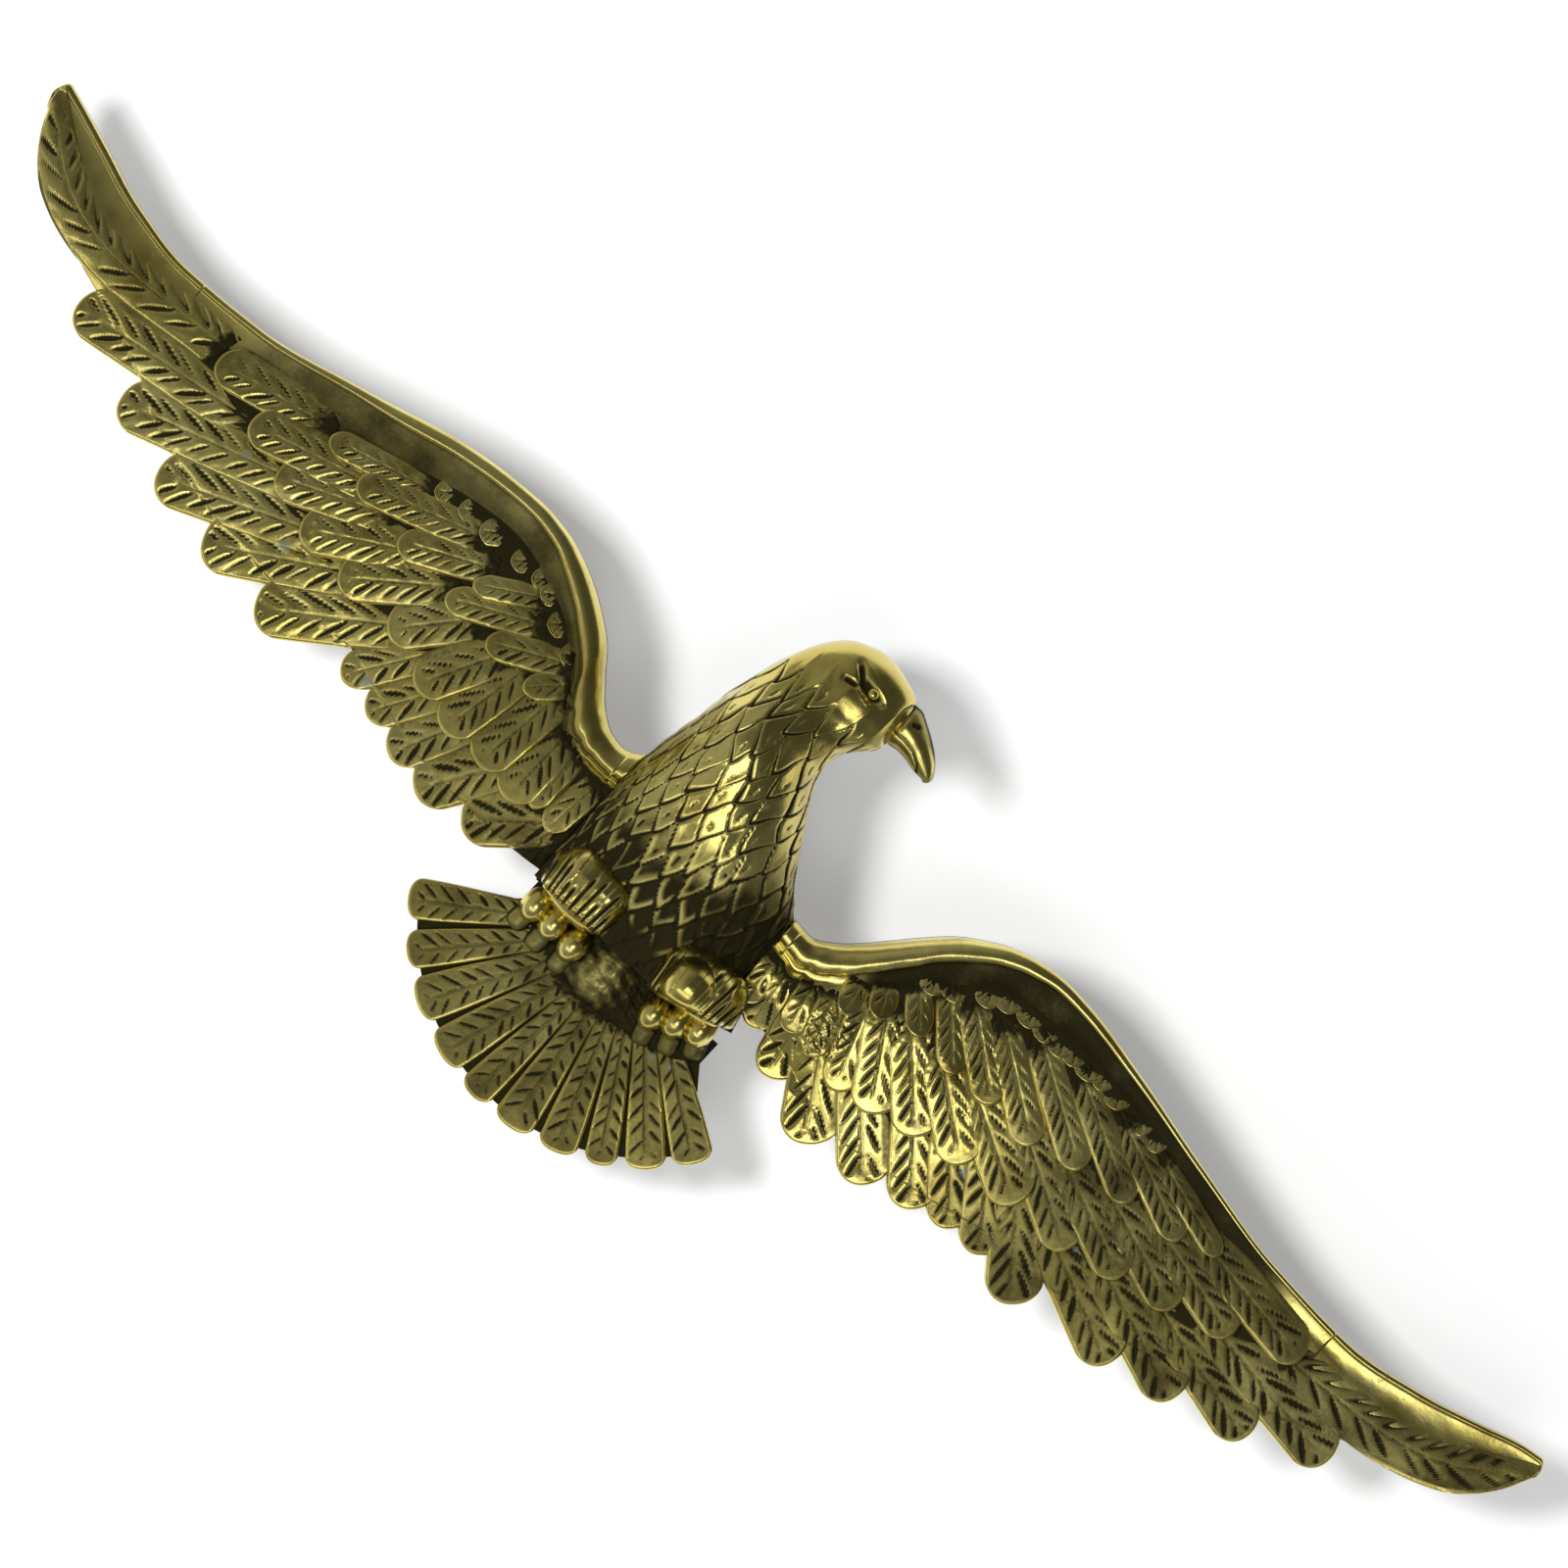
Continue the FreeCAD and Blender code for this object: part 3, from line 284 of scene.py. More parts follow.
def wingBack(section, hollow):
    # z and height of the back: flat, or one wall behind the front
    lead, trail = section["lead"] - wall, section["trail"] + wall
    z = [trail] + list(np.linspace(trail, lead, 16)) + [lead]
    if not hollow:
        return z, [0] * len(z)
    shares = np.linspace(0, 1, 16)
    low, high = float(fieldHeight(section, trail)) - wall, section["rim"] - 1.3 * section["depth"] - wall
    middle = float(fieldHeight(section, blend(trail, lead, 0.5))) - wall
    bulge = middle - blend(low, high, 0.5)
    return z, [0] + list(blend(low, high, shares) + 4 * bulge * shares * (1 - shares)) + [0]


def wingShell(side, sign):
    seam = plaque[side + "Seam"]
    reach = wingLook["hollowReach"] * plaque["halfSpan"]
    outs = np.linspace(seam, wingLines[side]["lead"][-1][0] - wingLook["tipRound"] / 2, wingLook["stations"])
    marks = [(out, seam + wall < out < reach) for out in outs]
    marks += [(seam + wall, False), (seam + wall, True), (reach, True), (reach, False)]
    marks.sort(key=lambda mark: (mark[0], mark[1] if mark[0] < reach else not mark[1]))
    roughX, roughZ, roughWide, roughTall = wingLines[side]["rough"]
    darkStart, darkFull, clearStart, clearEnd = wingLook["troughShadeReach"]
    rings, patina = [], []
    for out, hollow in marks:
        section = {name: float(value) for name, value in wingSection(side, out).items()}
        z, height = wingFront(section)
        backZ, backHeight = wingBack(section, hollow)
        z, height, front = np.array(z + backZ), np.array(height + backHeight), len(z)
        x = np.full(len(z), sign * out)
        onFront = (np.arange(len(z)) > 2) * (np.arange(len(z)) < front - 3)
        pits = np.exp(-((x - roughX) / roughWide) ** 4 - ((z - tipLevel - roughZ) / roughTall) ** 4)
        pits *= onFront
        uneven = (ripple(x, z, 7) * 0.12 + ripple(x, z, 2.3, 4) * 0.03) * onFront
        uneven += pits * (0.7 * ripple(x, z, 1.1, 6) + 0.5 * ripple(x, z, 0.55, 9) + 0.5)
        rings.append(np.stack([x, height + uneven, z], axis=-1))
        # where it is dark: patina in the feather field, at the foot of the rim, at the seam and in the pits, and
        # painted shade in the trough
        lead, fieldStart, rimFoot = section["lead"], section["fieldStart"], section["lead"] - section["rimWidth"]
        field = ramp(fieldStart + 0.8, fieldStart - 1.6, z) * (1 - ramp(*wingLook["fieldDarkEnd"], out))
        foot = 0.5 * np.exp(-((z - lead + section["rimWidth"]) / 0.5) ** 2) * ramp(80, 110, out)
        # painted shade in the trough behind the rim
        trough = wingLook["troughShade"][side] * ramp(rimFoot + section["rimWidth"] * 0.16, rimFoot, z)
        trough *= ramp(darkStart, darkFull, out) * (1 - ramp(clearStart, clearEnd, out))
        nearRoot = 0.8 * ramp(seam + wingLook["rootDark"], seam, out) * ramp(lead - 12, lead - 18, z)
        patina.append(np.maximum.reduce([field, foot, trough, nearRoot, pits]) * onFront + 0.6 * ~onFront)
    # the tip closes in a round end
    last = rings[-1]
    middle = last.mean(axis=0)
    for turn in (15, 30, 45, 60, 75, 86):
        ring = last.copy()
        ring[:, 2] = middle[2] + (last[:, 2] - middle[2]) * math.cos(math.radians(turn))
        ring[:, 0] += sign * wingLook["tipRound"] * math.sin(math.radians(turn))
        rings.append(ring)
        patina.append(patina[-1])
    root = wingSection(side, seam)
    centre, half = float(root["lead"] + root["trail"]) / 2, plaque["tongueWidth"] / 2
    ends = sorted((sign * (seam + wall), sign * (seam - plaque["tongueReach"])))
    points, faces = tube(rings)
    parts = [(points, faces, np.concatenate(patina)),
             slab(ends, (centre - half, centre + half), plaque["tongueLow"], plaque["tongueHigh"])]
    hang = sign * wingLook["hangerPitch"] / 2
    for end in (-1, 1):
        z = end * wingLook["plateBossPitch"] / 2
        roof = float(fieldHeight(wingSection(side, abs(hang)), z)) - wall / 2
        parts.append(bar(hang, z, wingLook["plateBossRadius"], wingLook["plateHigh"], roof))
    return meshObject(side + "_wing_shell", *gather(parts))


shells = {side: wingShell(side, sign) for side, sign in (("left", -1), ("right", 1))}
print("wing shells made")

# node trees

class Field:
    # a value in a node tree: sums, products and the methods below add its nodes
    def __init__(self, tree, socket):
        self.tree, self.socket = tree, socket

    def maths(self, operation, *values):
        node = self.tree.nodes.new("ShaderNodeMath")
        node.operation = operation
        for entry, value in zip(node.inputs, values):
            feed(self.tree, value, entry)
        return Field(self.tree, node.outputs[0])

    def __add__(self, other):
        return self.maths("ADD", self, other)

    def __radd__(self, other):
        return self.maths("ADD", other, self)

    def __sub__(self, other):
        return self.maths("SUBTRACT", self, other)

    def __rsub__(self, other):
        return self.maths("SUBTRACT", other, self)

    def __mul__(self, other):
        return self.maths("MULTIPLY", self, other)

    def __rmul__(self, other):
        return self.maths("MULTIPLY", other, self)

    def __truediv__(self, other):
        return self.maths("DIVIDE", self, other)

    def __rtruediv__(self, other):
        return self.maths("DIVIDE", other, self)

    def __pow__(self, other):
        return self.maths("POWER", self, other)

    def __abs__(self):
        return self.maths("ABSOLUTE", self)

    def atLeast(self, other):
        return self.maths("MAXIMUM", self, other)

    def atMost(self, other):
        return self.maths("MINIMUM", self, other)

    def ramp(self, low, high):
        node = self.tree.nodes.new("ShaderNodeMapRange")
        node.interpolation_type = "SMOOTHSTEP"
        for entry, value in zip(node.inputs, (self, low, high, 0.0, 1.0)):
            feed(self.tree, value, entry)
        return Field(self.tree, node.outputs[0])


def feed(tree, value, entry):
    if isinstance(value, Field):
        tree.links.new(value.socket, entry)
    else:
        entry.default_value = value


def addNode(tree, kind, inputs=None, **settings):
    node = tree.nodes.new(kind)
    for name, value in settings.items():
        setattr(node, name, value)
    for name, value in (inputs or {}).items():
        feed(tree, value, node.inputs[name])
    return node


def combine(tree, x, y, z):
    return Field(tree, addNode(tree, "ShaderNodeCombineXYZ", {"X": x, "Y": y, "Z": z}).outputs[0])


def separate(tree, vector):
    parts = addNode(tree, "ShaderNodeSeparateXYZ", {"Vector": vector}).outputs
    return [Field(tree, socket) for socket in parts]


# feathers

featherInputs = {
    "Columns": ("NodeSocketInt", 41), "Rows": ("NodeSocketInt", 110),
    "Tip Length": ("NodeSocketFloat", 8.5),     # the rounded end
    "Tip Squareness": ("NodeSocketFloat", 2.1),
    "Root Share": ("NodeSocketFloat", 0.43),    # half the width at the root, over the full width
    "Full At": ("NodeSocketFloat", 0.45),       # share of the length where it is widest
    "Lead Side": ("NodeSocketFloat", 1.38),     # how much wider each half is than the width says, since
    "Trail Side": ("NodeSocketFloat", 1.1),     # the neighbours hide some of it
    "Bend Skew": ("NodeSocketFloat", 1.0),      # above 1, a bent feather bows most towards its tip
    "Root Lift": ("NodeSocketFloat", 0.3), "Tip Lift": ("NodeSocketFloat", 2.2),
    "Tip Fall": ("NodeSocketFloat", 0.14),
    "Roll": ("NodeSocketFloat", 0.8),           # the trailing edge lies over the next feather
    "Crown": ("NodeSocketFloat", 0.45), "Edge Radius": ("NodeSocketFloat", 1.2),
    "Rib Width": ("NodeSocketFloat", 0.45), "Rib Depth": ("NodeSocketFloat", 0.3),
    # chisel cuts: from one to the next along the leading and trailing half, then how far they lean
    "Lead Pitch": ("NodeSocketFloat", 6.4), "Trail Pitch": ("NodeSocketFloat", 6.0),
    "Lead Lean": ("NodeSocketFloat", 2.0), "Trail Lean": ("NodeSocketFloat", 1.3),
    "Cut Width": ("NodeSocketFloat", 2.1),
    "Lead Cut": ("NodeSocketFloat", 0.4),       # width of the leading cuts over twice the trailing ones
    "Cut Slope": ("NodeSocketFloat", 0.45),     # depth of a chisel cut over its half width
    "Lead Reach": ("NodeSocketFloat", 0.66), "Trail Reach": ("NodeSocketFloat", 0.8),
    "Smooth Tip": ("NodeSocketFloat", 4.0), "Barb Bulge": ("NodeSocketFloat", 0.1),
    "Unevenness": ("NodeSocketFloat", 0.3), "Bed": ("NodeSocketFloat", 1.5),
    "Root Patina And Shade": ("NodeSocketFloat", 0.42),   # how far along the dark root reaches: patina on the grainy root and painted shade under the row above
    "Dullness": ("NodeSocketFloat", 0.22), "Outer Dullness": ("NodeSocketFloat", 0.0),
    "Seed": ("NodeSocketFloat", 3.0),
    "Surface": ("NodeSocketObject", None), "Material": ("NodeSocketMaterial", None),
}


def featherTree():
    # one feather at each guide point, laid on the surface and cut with a chisel
    tree = bpy.data.node_groups.new("feathers", "GeometryNodeTree")
    tree.interface.new_socket("Geometry", in_out="INPUT", socket_type="NodeSocketGeometry")
    tree.interface.new_socket("Geometry", in_out="OUTPUT", socket_type="NodeSocketGeometry")
    for name, (kind, value) in featherInputs.items():
        socket = tree.interface.new_socket(name, in_out="INPUT", socket_type=kind)
        if value is not None:
            socket.default_value = value
    entry = addNode(tree, "NodeGroupInput")
    given = {socket.name: Field(tree, socket) for socket in entry.outputs}

    def named(name, kind="FLOAT"):
        node = addNode(tree, "GeometryNodeInputNamedAttribute", {"Name": name}, data_type=kind)
        return Field(tree, node.outputs["Attribute"])

    def store(geometry, name, value):
        node = addNode(tree, "GeometryNodeStoreNamedAttribute", {"Geometry": geometry, "Name": name, "Value": value},
                       data_type="FLOAT", domain="POINT")
        return Field(tree, node.outputs[0])

    # a flat blade that knows its place across, -1 to 1, and along, 0 to 1
    grid = addNode(tree, "GeometryNodeMeshGrid", {
        "Size X": 2.0, "Size Y": 1.0, "Vertices X": given["Columns"], "Vertices Y": given["Rows"]})
    gridX, gridY = separate(tree, Field(tree, addNode(tree, "GeometryNodeInputPosition").outputs[0]))[:2]
    blade = store(store(Field(tree, grid.outputs["Mesh"]), "across", gridX), "onward", gridY + 0.5)
    placed = addNode(tree, "GeometryNodeInstanceOnPoints", {"Points": given["Geometry"], "Instance": blade})
    flock = Field(tree, addNode(tree, "GeometryNodeRealizeInstances",
                                {"Geometry": Field(tree, placed.outputs[0])}).outputs[0])

    # outline: a tapered root, full sides and a rounded tip, bent along its centre line
    rootX, rootZ = separate(tree, named("root", "FLOAT_VECTOR"))[::2]
    reachX, reachZ = separate(tree, named("reach", "FLOAT_VECTOR"))[::2]
    width, bend, hand, seed = named("width"), named("bend"), named("hand"), named("seed") + given["Seed"]
    length = (reachX * reachX + reachZ * reachZ) ** 0.5
    alongX, alongZ = reachX / length, reachZ / length
    sideX, sideZ = alongZ * hand, alongX * hand * -1
    s = (named("across") * (math.pi / 2)).maths("SINE", named("across") * (math.pi / 2))
    absS = abs(s)
    v = 1 - (1 - named("onward")) ** 1.2
    square = given["Tip Squareness"]
    roundEnd = (1 - absS ** square).atLeast(0) ** (1 / square)
    lineLength = length - given["Tip Length"] * (1 - roundEnd)
    distance = v * lineLength
    along = distance / length
    half = width * (given["Root Share"] + (0.48 - given["Root Share"]) * along.ramp(0.0, given["Full At"]))
    trailing = s.maths("GREATER_THAN", s, 0.0)

    def either(lead, trail):
        return lead + (trail - lead) * trailing

    x = s * half * either(given["Lead Side"], given["Trail Side"])
    absX = abs(x)
    skew = given["Bend Skew"]
    bow = along ** skew
    slope = bend * 4 * skew * along ** (skew - 1) * (1 - 2 * bow) / length
    turn = (slope * slope + 1) ** 0.5
    forward = distance - slope / turn * x
    sideways = bend * 4 * bow * (1 - bow) + x / turn
    placeX = rootX + alongX * forward + sideX * sideways
    placeZ = rootZ + alongZ * forward + sideZ * sideways

    # the surface below
    target = addNode(tree, "GeometryNodeObjectInfo", {"Object": given["Surface"]})
    ray = addNode(tree, "GeometryNodeRaycast", {
        "Target Geometry": Field(tree, target.outputs["Geometry"]),
        "Source Position": combine(tree, placeX * mm, -0.06, placeZ * mm),
        "Ray Direction": (0, 1, 0), "Ray Length": 0.08})
    onSurface = Field(tree, ray.outputs["Is Hit"])
    hitY = separate(tree, Field(tree, ray.outputs["Hit Position"]))[1]
    tipBase = named("tipBase")
    # past the wing's edge a tip goes on falling
    fall = (rootZ + reachZ + 9 - placeZ).atLeast(0) * given["Tip Fall"]
    base = tipBase - fall + (hitY * (-1 / mm) - tipBase + fall) * onSurface
    lift = given["Root Lift"] + (given["Tip Lift"] - given["Root Lift"]) * along
    roll = given["Roll"] * s * along.ramp(0.0, 0.3)

    # rounded edges
    edge = (half * (1 - absS)).atMost((1 - v) * lineLength) * 1.15
    inset = (1 - edge / given["Edge Radius"]).atLeast(0).atMost(1)
    edgeDrop = given["Edge Radius"] * (1 - (1 - inset * inset) ** 0.5)

    # the rib and the cuts on both sides of it
    rib = given["Rib Depth"] * (1 - absX / given["Rib Width"]).atLeast(0) * (1 - along.ramp(0.8, 0.93))
    lean = either(given["Lead Lean"], given["Trail Lean"])
    pitch = either(given["Lead Pitch"], given["Trail Pitch"])
    phase = (distance - lean * absX) / pitch + seed * 7.31 + trailing * 0.5 + 40
    cell = phase.maths("FLOOR", phase)
    chance = addNode(tree, "ShaderNodeTexWhiteNoise", {"Vector": combine(tree, cell, seed, trailing)})
    diceA, diceB, diceC = separate(tree, Field(tree, chance.outputs["Color"]))
    offCentre = phase - cell - 0.5 + (diceA - 0.5) * 0.3 + (diceB - 0.5) * 0.4 * (absS - 0.4)
    away = abs(offCentre) * pitch / (lean * lean + 1) ** 0.5
    cutEnd = either(given["Lead Reach"], given["Trail Reach"]) + (diceC - 0.5) * 0.22
    cutStart = either(0.16, 0.05) + (diceB - 0.5) * 0.06
    t = ((absS - cutStart) / (cutEnd - cutStart)).atLeast(0).atMost(1)
    wedge = t ** either(0.6, 0.4) * (1 - t) ** either(0.6, 0.55) * either(2.2, 1.9)
    beforeTip = ((1 - v) * lineLength).ramp(given["Smooth Tip"] * 0.5, given["Smooth Tip"] * 1.3)
    halfCut = given["Cut Width"] * either(given["Lead Cut"], 0.5) * wedge * beforeTip * (0.7 + diceA * 0.5)
    cut = (halfCut - away).atLeast(0) * given["Cut Slope"] * either(1.35, 1.25)
    bulge = given["Barb Bulge"] * abs(offCentre).ramp(0.0, 0.5) * wedge.atMost(1) * beforeTip

    # an uneven casting, grainy towards the root
    where = combine(tree, placeX, placeZ, seed)

    def roughness(scale, detail):
        node = addNode(tree, "ShaderNodeTexNoise", {"Vector": where, "Scale": scale, "Detail": detail})
        return Field(tree, node.outputs[0]) - 0.5

    grain = roughness(0.75, 3.0)
    # the dark root: patina on the grainy root and painted shade where the row above covers it
    rootness = 1 - along.ramp(0.0, given["Root Patina And Shade"] + roughness(0.2, 1.0) * 0.3)
    uneven = roughness(0.13, 1.0) * given["Unevenness"] * 2 + grain * (0.05 + 0.8 * rootness)
    height = base + lift + roll + given["Crown"] * (1 - s * s) - edgeDrop - rib - cut + bulge + uneven
    # painted shadow along the leading edge, where it runs under its neighbour
    tuckedShadow = (s * -1).ramp(0.52, 0.72) * (1 - along.ramp(0.82, 0.96)) * (given["Lead Side"] - 1).ramp(0.0, 0.3)
    dark = cut.ramp(0.05, 0.3).atLeast(rib / given["Rib Depth"] * 0.7).atLeast(rootness).atLeast(tuckedShadow * 0.6)
    dullness = given["Dullness"] + abs(placeX).ramp(85, 150) * given["Outer Dullness"]
    rubbed = (1 - edge / 1.5).atLeast(0) * along.ramp(0.35, 0.6)
    patina = (dark * (0.85 + grain * 0.7)).atLeast(dullness * (1 - rubbed))
    footing = (base - given["Bed"]) * onSurface

    # the stored values are worked out before the move, so they are kept first
    kept = store(store(flock, "patina", patina), "footing", footing)
    moved = addNode(tree, "GeometryNodeSetPosition", {
        "Geometry": kept, "Position": combine(tree, placeX * mm, height.atLeast(0.5) * -mm, placeZ * mm)})
    painted = addNode(tree, "GeometryNodeSetMaterial", {
        "Geometry": Field(tree, moved.outputs[0]), "Material": given["Material"]})
    leave = addNode(tree, "NodeGroupOutput")
    tree.links.new(painted.outputs[0], leave.inputs[0])
    return tree


feathersTree = featherTree()


def closedFeathers(mesh, count, columns, rows):
    # sides down to the footing and an underside for each blade
    points = np.empty(len(mesh.vertices) * 3, np.float32)
    mesh.vertices.foreach_get("co", points)
    points = points.reshape(-1, 3).astype(float) / mm
    values = {}
    for name in ("patina", "footing"):
        values[name] = np.empty(len(mesh.vertices), np.float32)
        mesh.attributes[name].data.foreach_get("value", values[name])
    top = np.column_stack([points[:, 0], -points[:, 1], points[:, 2]])
    across, onward = np.meshgrid(np.arange(columns), np.arange(rows), indexing="ij")
    index = across * rows + onward
    around = np.concatenate([index[:-1, 0], index[-1, :-1], index[:0:-1, -1], index[0, :0:-1]])
    size = columns * rows
    below = size + np.arange(len(around))
    topQuads = np.stack([index[:-1, :-1], index[1:, :-1], index[1:, 1:], index[:-1, 1:]], -1).reshape(-1, 4)
    sideQuads = np.stack([np.roll(around, -1), around, below, np.roll(below, -1)], -1)
    # the four sides of the foot, then strips across it
    rightEnd, tipEnd = columns + rows - 2, 2 * columns + rows - 3
    rootRow, right = below[:columns], below[columns - 1:rightEnd + 1]
    tipRow, left = below[rightEnd:tipEnd + 1], np.append(below[tipEnd:], below[0])[::-1]
    bottomQuads = np.stack([right[1:-2], left[1:-2], left[2:-1], right[2:-1]], -1)
    ends = [rootRow[::-1].tolist() + [int(left[1]), int(right[1])],
            tipRow[::-1].tolist() + [int(right[-2]), int(left[-2])]]
    quads = np.concatenate([topQuads, sideQuads, bottomQuads])
    parts = []
    for blade in range(count):
        start = blade * size
        skin = top[start:start + size]
        foot = skin[around].copy()
        foot[:, 1] = np.minimum(values["footing"][start:start + size][around], foot[:, 1] - 0.2)
        dark = values["patina"][start:start + size]
        parts.append((np.concatenate([skin, foot]), quads.tolist() + ends,
                      np.concatenate([dark, np.full(len(foot), 0.6)])))
    return gather(parts)


def bakeFeathers(name, guides, shape, surface):
    # guides are rows of root x and z, tip x and z, width, bend, hand, height where nothing lies below
    guides = np.asarray(guides, float)
    mesh = bpy.data.meshes.new(name)
    mesh.from_pydata([(row[0] * mm, 0, row[1] * mm) for row in guides], [], [])
    root, reach = guides[:, 0:2], guides[:, 2:4] - guides[:, 0:2]
    for label, values in (("root", root), ("reach", reach)):
        vectors = np.column_stack([values[:, 0], np.zeros(len(guides)), values[:, 1]])
        attribute = mesh.attributes.new(label, "FLOAT_VECTOR", "POINT")
        attribute.data.foreach_set("vector", vectors.astype(np.float32).ravel())
    numbers = dict(zip(("width", "bend", "hand", "tipBase"), guides[:, 4:].T), seed=np.arange(len(guides)) * 1.37)
    for label, values in numbers.items():
        mesh.attributes.new(label, "FLOAT", "POINT").data.foreach_set("value", values.astype(np.float32))
    guide = addObject(name + "_guide", mesh)
    modifier = guide.modifiers.new("feathers", "NODES")
    modifier.node_group = feathersTree
    chosen = dict(shape, Surface=surface, Material=castBrass)
    for item in feathersTree.interface.items_tree:
        if item.in_out == "INPUT" and item.name in chosen:
            modifier[item.identifier] = chosen[item.name]
    baked = bpy.data.meshes.new_from_object(guide.evaluated_get(bpy.context.evaluated_depsgraph_get()))
    guide.modifiers.remove(modifier)
    columns, rows = (chosen.get(label, featherInputs[label][1]) for label in ("Columns", "Rows"))
    piece = meshObject(name, *closedFeathers(baked, len(guides), columns, rows))
    bpy.data.objects.remove(guide)
    bpy.data.meshes.remove(baked)
    print(name, "made:", len(guides), "feathers")
    return piece


# each feather, in millimetres: distance out and drop below the line through the tips, for the place
# where it comes out from under the row above and for its tip, then its width
featherPlaces = {
    "left": {
        "flight_feathers": [
            (200, 38, 256.5, 47, 14.7), (175, 42, 227.5, 59.5, 14.7), (160, 49.5, 204, 68.5, 15),
            (146, 53, 180, 74, 15.5), (124, 55, 155, 77.5, 15.5), (111.5, 58.5, 122, 74.5, 11),
            (99, 61, 109, 77.5, 12), (87, 64, 95.5, 82, 13), (71, 66, 82.5, 84.5, 15),
            (52, 69, 66, 81.5, 15),
        ],
        "coverts": [
            (174, 22, 213.5, 30.5, 12), (155, 26.5, 193.5, 37.5, 12), (149, 31.5, 177, 44, 12.5),
            (134, 34, 161, 50.5, 13), (121, 36.5, 142.5, 53.5, 13), (108, 39.5, 121, 54.8, 13),
            (94, 43, 103.5, 61.5, 13), (83.5, 41, 88, 65.5, 13), (70.5, 41, 73.5, 65.7, 13.5),
            (60, 40, 60, 67.5, 13), (53, 42, 53, 64, 7.5), (43, 45, 45, 66, 9),
        ],
        "small_coverts": [
            (143, 16, 173, 24, 9), (121, 15.5, 158, 28, 11), (115, 22, 137, 33, 11), (97, 18, 111.5, 27, 8),
            (92, 24, 115, 35.5, 10), (79, 27.5, 97, 37, 10), (70, 30, 79.5, 39.5, 9),
        ],
        "leaflets": [
            (132, 9, 139, 14.5, 6), (123, 8.5, 130, 13.5, 6), (114, 9, 121, 14, 6.5), (102, 9, 108, 14, 6),
            (94, 9.5, 100, 13.5, 6), (88.5, 11, 95, 15, 6), (81, 15.5, 87, 20.5, 6.5),
            (72.5, 20.5, 78, 24.5, 6.5),
        ],
        "tip_feather": [(216, 26, 304.4, 1, 15)],
    },
    "right": {
        "flight_feathers": [
            (205, 38.5, 256.5, 45, 14.5), (190, 46, 233.5, 56.5, 13.5), (168, 48.5, 209.5, 63, 14),
            (152, 53, 188, 68.5, 14.5), (139, 57, 154, 75.5, 15), (122, 51, 137, 71, 13),
            (111, 56, 125, 71.5, 13), (98, 58, 112.5, 75, 14), (80, 62, 97, 79.5, 14.5),
            (61, 60, 75.5, 82.5, 15.5), (50, 60, 53.5, 75.2, 12.5), (36.5, 46, 39.5, 67.5, 11),
        ],
        "coverts": [
            (183, 22, 229, 28, 12.5), (168, 27.5, 208.8, 37, 12), (152, 30.5, 190.5, 43, 12),
            (137, 33, 172.5, 47, 12.5), (122, 34.5, 155, 52, 13), (103, 36, 134.5, 52.5, 14),
            (90, 36.5, 114.5, 54.5, 13.5), (79, 38.5, 98.5, 58, 13.5), (69.5, 40, 84, 62, 13.5),
            (62.5, 42, 71, 64.5, 10.5), (53.5, 48, 58.5, 62, 9), (45, 44, 48.5, 61, 9), (31.5, 46, 33, 63, 8),
        ],
        "small_coverts": [
            (160, 13, 190, 21.8, 8), (145, 13, 178, 26.5, 10), (126, 12, 159, 28.8, 10.5),
            (110, 13, 141.5, 31.5, 11), (98, 17, 126, 36, 11.5), (88, 19, 109, 35, 11.5),
            (80, 22, 94, 36.5, 9.5), (69, 24, 79, 35, 9), (61, 29, 66.5, 39.5, 9), (55, 34, 57.5, 45.5, 9),
        ],
        "leaflets": [
            (151, 7.5, 155, 12, 6), (144, 6.5, 148, 11.5, 6), (134, 5.5, 137, 11, 7), (127, 4, 129.5, 10, 6),
            (121.5, 4.2, 125, 10.5, 7.5), (115.5, 4.5, 118.5, 10.5, 6.5), (110, 4.5, 114, 11, 7),
            (104, 4.8, 107.5, 11, 6.5), (98, 5, 101, 11, 7), (90, 6, 93.5, 12, 7), (84, 8, 88, 15, 7),
            (75.5, 14, 79.5, 20.5, 7), (69.5, 17, 73, 23.5, 7),
        ],
        "tip_feather": [(228, 29.5, 304.6, 2, 15.5)],
    },
}
